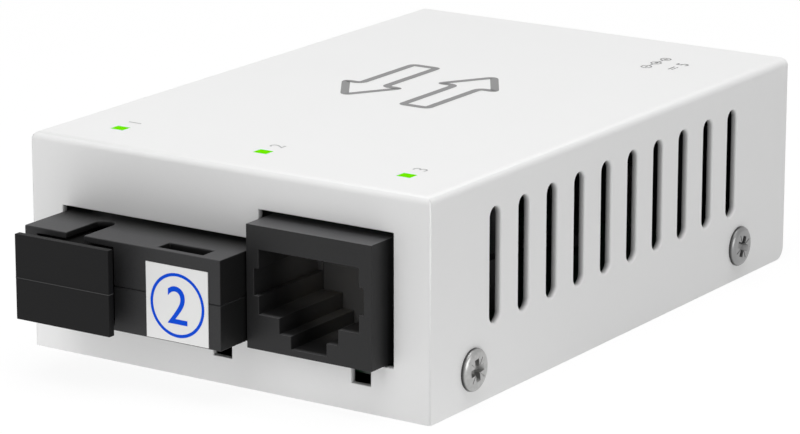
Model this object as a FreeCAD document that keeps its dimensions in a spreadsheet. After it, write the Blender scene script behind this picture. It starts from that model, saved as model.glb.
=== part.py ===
import FreeCAD, Part

import math
import os
import re

import Sketcher

# Fibre media converter in a folded sheet case, with a network jack and an optical module in the front.
# Frame: +X to the right as seen from the front, +Y to the rear, +Z up, origin under the middle of the tray.
# Lengths are millimetres.

NAME = "media_converter"

# Driving dimensions, one spreadsheet cell each.
SIZES = {
    # Case: folded cover over a folded tray
    "case_wide": 51.0,
    "case_deep": 76.0,
    "case_tall": 24.0,
    "sheet_thick": 0.8,
    "bend_round": 0.9,
    "seam_gap": 0.09,
    "seam_stop": 0.4,
    "flange_corner": 1.5,
    "cover_fit": 0.1,
    "rear_inset": 0.2,
    "tray_flange": 6.6,
    "tray_relief": 2.0,
    # Vents in both sides
    "vent_count": 10,
    "vent_wide": 2.1,
    "vent_from_front": 12.3,
    "vent_from_rear": 13.2,
    "vent_low": 7.9,
    "vent_from_top": 3.6,
    # Cover screws
    "head_wide": 4.6,
    "head_tall": 0.6,
    "shank_wide": 2.4,
    "shank_long": 2.4,
    "shank_gap": 0.3,
    "thread_gap": 0.05,
    "recess_long": 2.9,
    "recess_slot": 0.62,
    "recess_deep": 1.0,
    "screw_height": 4.0,
    "screw_from_front": 8.0,
    "screw_from_rear": 11.1,
    # Circuit board on posts
    "post_tall": 3.0,
    "post_wide": 4.4,
    "board_thick": 1.6,
    "board_gap": 0.6,
    "board_from_screw": 0.3,
    "post_from_side": 2.3,
    "post_from_front": 34.6,
    "post_from_rear": 3.6,
    "board_head_wide": 4.2,
    "board_head_tall": 1.3,
    "board_shank_long": 4.0,
    # Optical module
    "module_wide": 25.4,
    "module_tall": 9.7,
    "module_deep": 33.0,
    "module_proud": 7.1,
    "connector_gap": 0.2,
    "connector_shift": -0.35,
    "module_foot": 0.8,
    "module_wall": 1.0,
    "parting_groove": 0.12,
    "port_wide": 10.0,
    "port_tall": 8.3,
    "port_deep": 15.0,
    "port_from_side": 6.7,
    "key_wide": 2.3,
    "key_long": 6.1,
    "window_wide": 5.75,
    "window_deep": 2.05,
    "window_from_front": 0.85,
    "window_from_side": 2.75,
    "barrel_wide": 4.6,
    "barrel_long": 5.9,
    "ferrule_wide": 2.52,
    "barrel_gap": 0.1,
    "flange_wide": 5.4,
    "flange_long": 0.6,
    "optic_wide": 5.2,
    "optic_long": 8.6,
    "latch_plate": 1.0,
    "latch_arm_long": 4.4,
    "latch_arm_thick": 0.7,
    "latch_arm_tall": 3.0,
    "module_board_thick": 1.0,
    "pin_count": 9,
    "pin_pitch": 2.54,
    "pin_thick": 0.45,
    "pin_hole": 0.9,
    "pin_from_rear": 4.0,
    "pin_below": 1.0,
    "label_wide": 7.9,
    "label_tall": 8.1,
    "label_thick": 0.1,
    "label_from_side": 1.5,
    "label_up": 0.15,
    # Dust cap in the port
    "cap_wide": 12.3,
    "cap_tall": 9.3,
    "cap_plate": 1.3,
    "cap_bevel": 0.5,
    "cap_standoff": 1.5,
    "cap_shift": 0.35,
    "stem_reach": 4.6,
    "stem_fit": 0.3,
    "stem_wall": 1.1,
    "stem_hollow": 3.8,
    # Network jack
    "jack_wide": 15.5,
    "jack_tall": 13.3,
    "jack_deep": 18.0,
    "jack_proud": 2.8,
    "jack_foot": 0.2,
    "socket_wide": 12.4,
    "socket_deep": 11.6,
    "socket_roof": 2.55,
    "recess_side": 0.6,
    "side_recess_low": 5.75,
    "side_recess_high": 8.7,
    "shelf_height": 3.8,
    "step_wide": 7.3,
    "step_height": 2.1,
    "catch_wide": 4.4,
    "catch_height": 0.7,
    "foot_wide": 1.4,
    "contact_count": 8,
    "contact_pitch": 1.02,
    "contact_wide": 0.45,
    "contact_thick": 0.4,
    "contact_tip": 4.8,
    "contact_drop": 3.4,
    "insert_fit": 0.1,
    "jack_back_wall": 0.9,
    # Openings of the front panel
    "module_clear": 0.5,
    "jack_clear": 0.8,
    "step_clear": 0.4,
    "notch_wide": 2.4,
    "notch_deep": 2.4,
    "notch_from_module": 5.0,
    "notch_from_jack": 3.2,
    # Lamps and light pipes
    "lamp_from_side": 7.1,
    "lamp_centre": 0.4,
    "lamp_window_wide": 1.7,
    "lamp_window_deep": 1.5,
    "lamp_from_front": 6.4,
    "lamp_back": 30.4,
    "pipe_gap": 0.04,
    "pipe_thick": 1.5,
    "pipe_air": 0.2,
    "lamp_wide": 2.0,
    "lamp_deep": 1.25,
    "lamp_tall": 0.8,
    # Power inlet
    "inlet_wide": 9.0,
    "inlet_tall": 10.8,
    "inlet_deep": 14.2,
    "inlet_collar": 3.4,
    "inlet_axis": 6.4,
    "inlet_barrel": 8.0,
    "inlet_from_side": 9.2,
    "inlet_gap": 0.1,
    "inlet_hole": 8.4,
    "socket_round": 6.3,
    "socket_bore_deep": 10.0,
    "inlet_pin": 2.0,
    "inlet_pin_back": 1.0,
    "inlet_leaf": 0.3,
    "inlet_leaf_wide": 2.4,
    "inlet_leaf_long": 7.0,
    # Parts on the board
    "chip_wide": 9.0,
    "chip_tall": 0.9,
    "chip_corner": 0.6,
    "chip_from_side": 16.8,
    "row_forward": 4.0,
    "row_from_rear": 2.0,
    "coil_box_wide": 12.7,
    "coil_box_deep": 7.0,
    "coil_box_tall": 5.6,
    "coil_lead_count": 6,
    "coil_lead_pitch": 1.9,
    "coil_lead_reach": 1.2,
    "coil_lead_thick": 0.3,
    "coil_back": 19.4,
    "crystal_wide": 3.2,
    "crystal_long": 5.0,
    "crystal_tall": 1.2,
    "crystal_from_side": 6.8,
    "capacitor_wide": 6.3,
    "capacitor_tall": 7.7,
    "capacitor_base": 1.0,
    "capacitor_from_side": 11.8,
    "inductor_wide": 7.3,
    "inductor_tall": 3.6,
    "inductor_corner": 1.4,
    "inductor_from_inlet": 11.1,
    "regulator_wide": 6.5,
    "regulator_deep": 3.5,
    "regulator_tall": 1.6,
    "regulator_tab": 3.0,
    "regulator_reach": 1.7,
    "regulator_lead": 0.3,
    "regulator_pitch": 2.3,
    "regulator_from_side": 12.8,
    "small_long": 2.0,
    "small_wide": 1.25,
    "small_tall": 0.6,
    "small_pitch": 2.6,
    "small_from_side": 10.8,
    "small_count": 7,
}

# Places and sizes that follow from the driving dimensions, kept in a second sheet.
PLACES = {
    "half_wide": "case_wide / 2",
    "front_face": "-case_deep / 2",
    "rear_face": "case_deep / 2",
    "inside_wide": "case_wide / 2 - sheet_thick",
    "inside_top": "case_tall - sheet_thick",
    "tray_half": "inside_wide - cover_fit",
    "tray_front": "front_face + sheet_thick + cover_fit",
    "tray_rear": "rear_face - rear_inset",
    "vent_first": "front_face + vent_from_front",
    "vent_reach": "case_deep - vent_from_front - vent_from_rear",
    "screw_front": "front_face + screw_from_front",
    "screw_rear": "rear_face - screw_from_rear",
    "board_low": "sheet_thick + post_tall",
    "board_top": "board_low + board_thick",
    "board_half": "half_wide - shank_long - board_from_screw",
    "board_front": "front_face + sheet_thick + board_gap",
    "board_rear": "tray_rear - sheet_thick - board_gap",
    "post_side": "board_half - post_from_side",
    "post_front": "board_front + post_from_front",
    "post_rear": "board_rear - post_from_rear",
    "module_front": "front_face - module_proud",
    "module_rear": "module_front + module_deep",
    "module_left": "connector_shift - (module_wide + connector_gap + jack_wide) / 2",
    "module_right": "module_left + module_wide",
    "module_middle": "module_left + module_wide / 2",
    "module_low": "board_top + module_foot",
    "module_top": "module_low + module_tall",
    "parting": "module_low + module_tall / 2",
    "port_middle": "module_left + port_from_side",
    "port_end": "module_front + port_deep",
    "bay_front": "port_end + module_wall",
    "bay_rear": "module_rear - module_wall",
    "bay_low": "module_low + module_wall",
    "bay_top": "module_top - module_wall",
    "barrel_front": "port_end - barrel_long",
    "optic_front": "bay_front + flange_long",
    "pin_row": "module_rear - pin_from_rear",
    "cap_back": "module_front - cap_standoff",
    "cap_front": "cap_back - cap_plate",
    "stem_end": "module_front + stem_reach",
    "stem_half_wide": "port_wide / 2 - stem_fit",
    "stem_half_tall": "port_tall / 2 - stem_fit",
    "jack_left": "module_right + connector_gap",
    "jack_right": "jack_left + jack_wide",
    "jack_middle": "jack_left + jack_wide / 2",
    "jack_low": "board_top + jack_foot",
    "jack_top": "jack_low + jack_tall",
    "jack_front": "front_face - jack_proud",
    "jack_rear": "jack_front + jack_deep",
    "socket_top": "jack_top - socket_roof",
    "socket_end": "jack_front + socket_deep",
    "wire_top": "socket_top - insert_fit",
    "wire_under": "wire_top - contact_thick",
    "tail_back": "jack_rear - jack_back_wall - insert_fit",
    "tail_face": "tail_back - contact_thick",
    "tip_front": "jack_front + contact_tip",
    "module_notch": "module_right - notch_from_module",
    "jack_notch": "jack_right - notch_from_jack",
    "lamp_side": "half_wide - lamp_from_side",
    "lamp_row": "front_face + lamp_from_front",
    "lamp_place": "board_front + lamp_back",
    "inlet_middle": "board_half - inlet_from_side",
    "inlet_face": "tray_rear - sheet_thick - inlet_gap",
    "inlet_back": "inlet_face - inlet_deep",
    "inlet_height": "board_top + inlet_axis",
    "inlet_bore_end": "inlet_face - socket_bore_deep",
    "coil_place": "board_front + coil_back",
    "middle_row": "(post_front + post_rear) / 2 - row_forward",
    "rear_row": "board_rear - capacitor_wide / 2 - row_from_rear",
    "small_row": "post_front - small_long / 2",
    "small_first": "small_from_side - board_half",
    "chip_middle": "chip_from_side - board_half",
    "crystal_middle": "crystal_from_side - board_half",
    "regulator_middle": "board_half - regulator_from_side",
    "capacitor_middle": "capacitor_from_side - board_half",
    "inductor_middle": "inlet_middle - inductor_from_inlet",
}

doc = FreeCAD.newDocument(NAME)


def linked(formula):
    """Turn the names in a formula into references to the cells of the two sheets."""
    def cell(match):
        word = match.group(0)
        if word in SIZES:
            return "Sizes." + word
        if word in PLACES:
            return "Places." + word
        return word
    return re.sub(r"[a-z][a-z_]*", cell, formula)


def fill_sheet(label, cells):
    """Make a spreadsheet with one named cell to a row."""
    sheet = doc.addObject("Spreadsheet::Sheet", label)
    for row, (alias, text) in enumerate(cells, 1):
        sheet.set(f"A{row}", alias.replace("_", " "))
        sheet.set(f"B{row}", text)
        sheet.setAlias(f"B{row}", alias)
    doc.recompute()
    return sheet


sizes = fill_sheet("Sizes", [(alias, str(value)) for alias, value in SIZES.items()])
places = fill_sheet("Places", [(alias, "=" + linked(text)) for alias, text in PLACES.items()])

pieces = []


def size(alias):
    """Read one named value as a plain number."""
    sheet = sizes if alias in SIZES else places
    return float(getattr(sheet, alias))


def bind(item, path, formula):
    """Tie a property of a document object to a formula of named values."""
    item.setExpression(path, linked(formula))


def piece(item):
    """Note that a document object is a finished sub-part, named by its Label."""
    pieces.append(item)
    return item


# ---- Sketches -------------------------------------------------------------------------------------------

def pin_point(sketch, geometry, vertex, across, up):
    """Hold one point of a sketch at two formulas, measured from the sketch's origin."""
    drawn = sketch.getPoint(geometry, vertex)
    for kind, place, formula in (("DistanceX", drawn.x, across), ("DistanceY", drawn.y, up)):
        number = sketch.addConstraint(Sketcher.Constraint(kind, -1, 1, geometry, vertex, place))
        sketch.setExpression(f"Constraints[{number}]", linked(formula))


def draw_polygon(sketch, corners):
    """Closed outline through the given corners."""
    first = sketch.GeometryCount
    count = len(corners)
    start = [FreeCAD.Vector(i, (i * i) % 7, 0) for i in range(count)]
    for i in range(count):
        sketch.addGeometry(Part.LineSegment(start[i], start[(i + 1) % count]), False)
    for i in range(count):
        following = first + (i + 1) % count
        sketch.addConstraint(Sketcher.Constraint("Coincident", first + i, 2, following, 1))
        pin_point(sketch, first + i, 1, *corners[i])


def draw_box(sketch, left, low, right, high):
    """Rectangle between two corners."""
    draw_polygon(sketch, [(left, low), (right, low), (right, high), (left, high)])


def draw_circle(sketch, across, up, width):
    """Circle of a given diameter."""
    centre = FreeCAD.Vector(0, 0, 0)
    number = sketch.addGeometry(Part.Circle(centre, FreeCAD.Vector(0, 0, 1), 1.0), False)
    pin_point(sketch, number, 3, across, up)
    radius = sketch.addConstraint(Sketcher.Constraint("Radius", number, 1.0))
    sketch.setExpression(f"Constraints[{radius}]", linked(f"({width}) / 2"))


def draw_slot(sketch, across, low, high, width, round_low=True):
    """Upright slot with a half-round upper end, and a half-round or a square lower one."""
    axis = FreeCAD.Vector(0, 0, 1)
    radius = f"({width}) / 2"
    left, right = f"({across}) - {radius}", f"({across}) + {radius}"
    top = f"({high}) - {radius}"
    bottom = f"({low}) + {radius}" if round_low else low
    upper = sketch.addGeometry(
        Part.ArcOfCircle(Part.Circle(FreeCAD.Vector(0, 5, 0), axis, 1.0), 0, math.pi), False)
    pin_point(sketch, upper, 1, right, top)
    pin_point(sketch, upper, 2, left, top)
    middle = sketch.addConstraint(Sketcher.Constraint("DistanceY", -1, 1, upper, 3, 5.0))
    sketch.setExpression(f"Constraints[{middle}]", linked(top))
    down = sketch.addGeometry(Part.LineSegment(FreeCAD.Vector(-1, 5, 0), FreeCAD.Vector(-1, 0, 0)), False)
    if round_low:
        lower = sketch.addGeometry(
            Part.ArcOfCircle(Part.Circle(FreeCAD.Vector(0, 0, 0), axis, 1.0), math.pi, math.tau), False)
        middle = sketch.addConstraint(Sketcher.Constraint("DistanceY", -1, 1, lower, 3, 0.0))
        sketch.setExpression(f"Constraints[{middle}]", linked(bottom))
    else:
        lower = sketch.addGeometry(
            Part.LineSegment(FreeCAD.Vector(-1, 0, 0), FreeCAD.Vector(1, 0, 0)), False)
    pin_point(sketch, lower, 1, left, bottom)
    pin_point(sketch, lower, 2, right, bottom)
    rise = sketch.addGeometry(Part.LineSegment(FreeCAD.Vector(1, 0, 0), FreeCAD.Vector(1, 5, 0)), False)
    for ends in ((upper, 2, down, 1), (down, 2, lower, 1), (lower, 2, rise, 1), (rise, 2, upper, 1)):
        sketch.addConstraint(Sketcher.Constraint("Coincident", *ends))


# ---- Bodies and their features --------------------------------------------------------------------------

def new_body(label):
    """Start a body for one sub-part."""
    return doc.addObject("PartDesign::Body", label)


def origin_item(body, role):
    """One of the body's own origin planes or axes."""
    return next(item for item in body.Origin.OriginFeatures if item.Role == role)


def plane_sketch(body, plane, offset):
    """Empty sketch on an origin plane of the body, moved along the plane's normal."""
    sketch = body.newObject("Sketcher::SketchObject", body.Label + "_sketch")
    sketch.AttachmentSupport = [(origin_item(body, plane + "_Plane"), "")]
    sketch.MapMode = "FlatFace"
    bind(sketch, "AttachmentOffset.Base.z", offset)
    return sketch


def extrude(body, plane, low, high, draw, *outline, cut=False):
    """Pad or pocket a drawn outline between two places along the axis that crosses the plane.

    The XZ plane faces -Y, so its sketch sits at the far end and is swept back to the near one.
    """
    offset = f"-({high})" if plane == "XZ" else low
    sketch = plane_sketch(body, plane, offset)
    draw(sketch, *outline)
    feature = body.newObject("PartDesign::Pocket" if cut else "PartDesign::Pad", body.Label + "_step")
    feature.Profile = sketch
    feature.Reversed = cut
    bind(feature, "Length", f"({high}) - ({low})")
    doc.recompute()
    return feature


def cut_away(body, plane, low, high, draw, *outline):
    """Pocket that has to take something away."""
    before = body.Shape.Volume
    feature = extrude(body, plane, low, high, draw, *outline, cut=True)
    if body.Shape.Volume > before - 1e-6:
        raise ValueError(f"a pocket of {body.Label} cuts nothing")
    return feature


def chosen(shape, test):
    """Names of the edges whose bounding box passes a test."""
    return [f"Edge{number}" for number, edge in enumerate(shape.Edges, 1) if test(edge.BoundBox)]


def soften(body, radius, test, kind="Fillet"):
    """Round or bevel the edges that pass a test."""
    base = body.Tip
    names = chosen(base.Shape, test)
    if not names:
        raise ValueError(f"no edge to soften on {body.Label}")
    feature = body.newObject("PartDesign::" + kind, body.Label + "_edge")
    feature.Base = (base, names)
    bind(feature, "Radius" if kind == "Fillet" else "Size", radius)
    doc.recompute()
    return feature


def at(measured, *wanted):
    """True where a measure equals one of the named values."""
    return any(abs(measured - value) < 1e-4 for value in wanted)


def repeat_along(body, feature, role, length, count):
    """Linear pattern of a feature along one of the body's own axes."""
    pattern = body.newObject("PartDesign::LinearPattern", body.Label + "_row")
    pattern.Originals = [feature]
    pattern.Direction = (origin_item(body, role), [""])
    bind(pattern, "Length", length)
    bind(pattern, "Occurrences", count)
    body.Tip = pattern
    doc.recompute()
    return pattern


def block(label, left, front, low, right, rear, high):
    """Plain box between two corners."""
    box = doc.addObject("Part::Box", label)
    for prop, formula in (("Length", f"({right}) - ({left})"), ("Width", f"({rear}) - ({front})"),
                          ("Height", f"({high}) - ({low})"), ("Placement.Base.x", left),
                          ("Placement.Base.y", front), ("Placement.Base.z", low)):
        bind(box, prop, formula)
    return box


def group(label, members):
    """Several separate solids that share one node."""
    compound = doc.addObject("Part::Compound", label)
    compound.Links = members
    return compound


# ---- Cover: one sheet, folded down at the front and both sides -------------------------------------------

def make_cover():
    body = new_body("top_cover")
    half, front, rear = size("half_wide"), size("front_face"), size("rear_face")
    top, inside = size("case_tall"), size("inside_top")

    extrude(body, "XY", "0", "case_tall", draw_box, "-half_wide", "front_face", "half_wide", "rear_face")
    soften(body, "bend_round", lambda b: at(b.ZMin, top) and (
        b.YLength > 5 or (b.XLength > 5 and at(b.YMin, front))))
    cut_away(body, "XY", "0", "inside_top", draw_box,
             "-inside_wide", "front_face + sheet_thick", "inside_wide", "rear_face")
    wall, face = size("inside_wide"), front + size("sheet_thick")
    soften(body, "bend_round - sheet_thick", lambda b: at(b.ZMin, inside) and at(b.ZMax, inside) and (
        (b.YLength > 5 and at(abs(b.XMin), wall)) or (b.XLength > 5 and at(b.YMin, face))))

    # Mitred corners: the flanges meet edge to edge with a narrow open seam that runs up into the bend.
    cut_away(body, "XY", "0", "case_tall - seam_stop", draw_polygon, [
        ("half_wide - sheet_thick - seam_gap", "front_face + sheet_thick"),
        ("half_wide - seam_gap", "front_face - seam_gap"),
        ("half_wide + seam_gap", "front_face"),
        ("half_wide - sheet_thick", "front_face + sheet_thick + seam_gap")])
    cut_away(body, "XY", "0", "case_tall - seam_stop", draw_polygon, [
        ("-half_wide + sheet_thick + seam_gap", "front_face + sheet_thick"),
        ("-half_wide + seam_gap", "front_face - seam_gap"),
        ("-half_wide - seam_gap", "front_face"),
        ("-half_wide + sheet_thick", "front_face + sheet_thick + seam_gap")])
    soften(body, "flange_corner", lambda b: at(b.ZMax, 0) and at(b.YMin, rear) and at(b.YMax, rear))

    # One stepped opening for both connectors, with two notches in its lower edge.
    sill, low = "board_top", "board_top - notch_deep"
    left, right = "module_left - module_clear", "jack_right + jack_clear"
    corners = [(left, sill)]
    for middle in ("module_notch", "jack_notch"):
        corners += [(f"{middle} - notch_wide / 2", sill), (f"{middle} - notch_wide / 2", low),
                    (f"{middle} + notch_wide / 2", low), (f"{middle} + notch_wide / 2", sill)]
    step = "jack_left - step_clear"
    corners += [(right, sill), (right, "jack_top + jack_clear"), (step, "jack_top + jack_clear"),
                (step, "module_top + module_clear"), (left, "module_top + module_clear")]
    cut_away(body, "XZ", "front_face - 1", "front_face + sheet_thick + 0.1", draw_polygon, corners)

    # Lamp windows, screw holes and the row of vents through both sides.
    for place in ("-lamp_side", "lamp_centre", "lamp_side"):
        cut_away(body, "XY", "inside_top - 0.5", "case_tall + 1", draw_box,
                 f"{place} - lamp_window_wide / 2", "lamp_row - lamp_window_deep / 2",
                 f"{place} + lamp_window_wide / 2", "lamp_row + lamp_window_deep / 2")
    for place in ("screw_front", "screw_rear"):
        cut_away(body, "YZ", "-half_wide - 1", "half_wide + 1", draw_circle,
                 place, "screw_height", "shank_wide + 2 * shank_gap")
    vent = cut_away(body, "YZ", "-half_wide - 1", "half_wide + 1", draw_slot,
                    "vent_first", "vent_low", "case_tall - vent_from_top", "vent_wide")
    repeat_along(body, vent, "Y_Axis", "vent_reach", "vent_count")
    piece(body)


# ---- Tray: floor, two low side flanges that the cover screws into, and the rear panel ---------------------

def make_tray():
    body = new_body("base_tray")
    half, rear, front = size("tray_half"), size("tray_rear"), size("tray_front")
    narrow = "tray_half - tray_relief"
    fold_end = "tray_rear - tray_relief"
    extrude(body, "XY", "0", "sheet_thick", draw_polygon, [
        ("-tray_half", "tray_front"), ("tray_half", "tray_front"),
        ("tray_half", fold_end), (narrow, fold_end),
        (narrow, "tray_rear"), (f"-({narrow})", "tray_rear"),
        (f"-({narrow})", fold_end), ("-tray_half", fold_end)])
    extrude(body, "XY", "0", "tray_flange", draw_box,
            "tray_half - sheet_thick", "tray_front", "tray_half", fold_end)
    extrude(body, "XY", "0", "tray_flange", draw_box,
            "-tray_half", "tray_front", "-tray_half + sheet_thick", fold_end)
    extrude(body, "XZ", "tray_rear - sheet_thick", "tray_rear", draw_polygon, [
        (f"-({narrow})", "0"), (narrow, "0"), (narrow, "tray_relief"), ("tray_half", "tray_relief"),
        ("tray_half", "inside_top - cover_fit"), ("-tray_half", "inside_top - cover_fit"),
        ("-tray_half", "tray_relief"), (f"-({narrow})", "tray_relief")])
    soften(body, "bend_round", lambda b: at(b.ZMax, 0) and (
        (b.YLength > 5 and at(abs(b.XMin), half)) or (b.XLength > 5 and at(b.YMin, rear))))
    floor, inner, back = size("sheet_thick"), half - size("sheet_thick"), rear - size("sheet_thick")
    soften(body, "bend_round - sheet_thick", lambda b: at(b.ZMin, floor) and at(b.ZMax, floor) and (
        (b.YLength > 5 and at(abs(b.XMin), inner)) or (b.XLength > 5 and at(b.YMin, back))))
    for place in ("screw_front", "screw_rear"):
        cut_away(body, "YZ", "-half_wide", "half_wide", draw_circle,
                 place, "screw_height", "shank_wide + 2 * thread_gap")
    cut_away(body, "XZ", "tray_rear - sheet_thick - 1", "tray_rear + 1", draw_circle,
             "inlet_middle", "inlet_height", "inlet_hole")
    piece(body)


# ---- Screws ----------------------------------------------------------------------------------------------

def hexagon(across_flats):
    """Corners of a hexagon about the sketch's origin."""
    side, corner = f"{across_flats} / 2", f"{across_flats} / sqrt(3)"
    return [(side, f"-{corner} / 2"), (side, f"{corner} / 2"), ("0", corner),
            (f"-{side}", f"{corner} / 2"), (f"-{side}", f"-{corner} / 2"), ("0", f"-{corner}")]


def make_cover_screw():
    """Low pan-head screw with a cross recess, standing on its point with its head's seat at z = 0."""
    body = new_body("cover_screw")
    extrude(body, "XY", "0", "head_tall", draw_circle, "0", "0", "head_wide")
    extrude(body, "XY", "-shank_long", "0", draw_circle, "0", "0", "shank_wide")
    near, far = "recess_slot / 2", "recess_long / 2"
    cut_away(body, "XY", "head_tall - recess_deep", "head_tall + 1", draw_polygon, [
        (near, near), (far, near), (far, f"-{near}"), (near, f"-{near}"), (near, f"-{far}"),
        (f"-{near}", f"-{far}"), (f"-{near}", f"-{near}"), (f"-{far}", f"-{near}"),
        (f"-{far}", near), (f"-{near}", near), (f"-{near}", far), (near, far)])
    return body


def make_board_screw():
    """Hexagon-head screw that clamps the board to a post."""
    body = new_body("board_screw")
    extrude(body, "XY", "0", "board_head_tall", draw_polygon, hexagon("board_head_wide"))
    extrude(body, "XY", "-board_shank_long", "0", draw_circle, "0", "0", "shank_wide")
    return body


def make_post(label):
    """Hexagonal post pressed into the tray."""
    body = new_body(label)
    extrude(body, "XY", "0", "post_tall", draw_polygon, hexagon("post_wide"))
    return body


def set_copy(label, original, rotation, across, along, up):
    """A linked copy of a screw or post in its own place."""
    copy = doc.addObject("App::Link", label)
    copy.LinkedObject = original
    copy.LinkTransform = False
    copy.Placement = FreeCAD.Placement(FreeCAD.Vector(0, 0, 0), rotation)
    for axis, formula in (("x", across), ("y", along), ("z", up)):
        bind(copy, "Placement.Base." + axis, formula)
    return copy


def make_fasteners():
    upright = FreeCAD.Rotation()
    to_right = FreeCAD.Rotation(FreeCAD.Vector(0, 1, 0), 90)
    to_left = FreeCAD.Rotation(FreeCAD.Vector(0, 1, 0), -90)
    master = make_cover_screw()
    members = []
    for place in ("screw_front", "screw_rear"):
        members.append(set_copy("right_screw", master, to_right, "half_wide", place, "screw_height"))
        members.append(set_copy("left_screw", master, to_left, "-half_wide", place, "screw_height"))
    piece(group("cover_screws", members))

    # The board rests on two plain posts behind the connectors and is screwed to two tapped ones at the rear.
    master, plain, tapped = make_board_screw(), make_post("plain_post"), make_post("tapped_post")
    cut_away(tapped, "XY", "0", "post_tall", draw_circle, "0", "0", "shank_wide + 2 * thread_gap")
    screws, posts = [], []
    for across in ("-post_side", "post_side"):
        screws.append(set_copy("rear_board_screw", master, upright, across, "post_rear", "board_top"))
        posts.append(set_copy("rear_post", tapped, upright, across, "post_rear", "sheet_thick"))
        posts.append(set_copy("front_post", plain, upright, across, "post_front", "sheet_thick"))
    piece(group("board_screws", screws))
    piece(group("standoffs", posts))


# ---- Main board ------------------------------------------------------------------------------------------

def make_board():
    body = new_body("circuit_board")
    extrude(body, "XY", "board_low", "board_top", draw_box,
            "-board_half", "board_front", "board_half", "board_rear")
    for across in ("-post_side", "post_side"):
        cut_away(body, "XY", "board_low", "board_top", draw_circle,
                 across, "post_rear", "shank_wide + 2 * shank_gap")
    first = "module_middle - pin_pitch * (pin_count - 1) / 2"
    hole = cut_away(body, "XY", "board_low", "board_top", draw_box, f"{first} - pin_hole / 2",
                    "pin_row - pin_hole / 2", f"{first} + pin_hole / 2", "pin_row + pin_hole / 2")
    repeat_along(body, hole, "X_Axis", "pin_pitch * (pin_count - 1)", "pin_count")
    piece(body)


# ---- Optical module: two moulded shell halves that part at the port's axis ---------------------------------

def make_shell(label, low, high):
    """One half of the housing; both halves are cut by the same port, bulkhead hole and bays."""
    body = new_body(label)
    extrude(body, "XY", low, high, draw_box, "module_left", "module_front", "module_right", "module_rear")
    seam = size("parting")
    soften(body, "parting_groove", lambda b: at(b.ZMin, seam) and at(b.ZMax, seam), "Chamfer")
    cut_away(body, "XZ", "module_front - 1", "port_end", draw_box,
             "port_middle - port_wide / 2", "parting - port_tall / 2",
             "port_middle + port_wide / 2", "parting + port_tall / 2")
    cut_away(body, "XZ", "port_end - 0.1", "bay_front + 0.1", draw_circle,
             "port_middle", "parting", "barrel_wide + 2 * barrel_gap")
    cut_away(body, "XZ", "bay_front", "bay_rear", draw_box,
             "module_left + module_wall", "bay_low", "module_right - module_wall", "bay_top")
    cut_away(body, "XZ", "module_front + module_wall", "bay_front + 0.1", draw_box,
             "port_middle + port_wide / 2 + module_wall", "bay_low", "module_right - module_wall", "bay_top")
    return body


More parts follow.
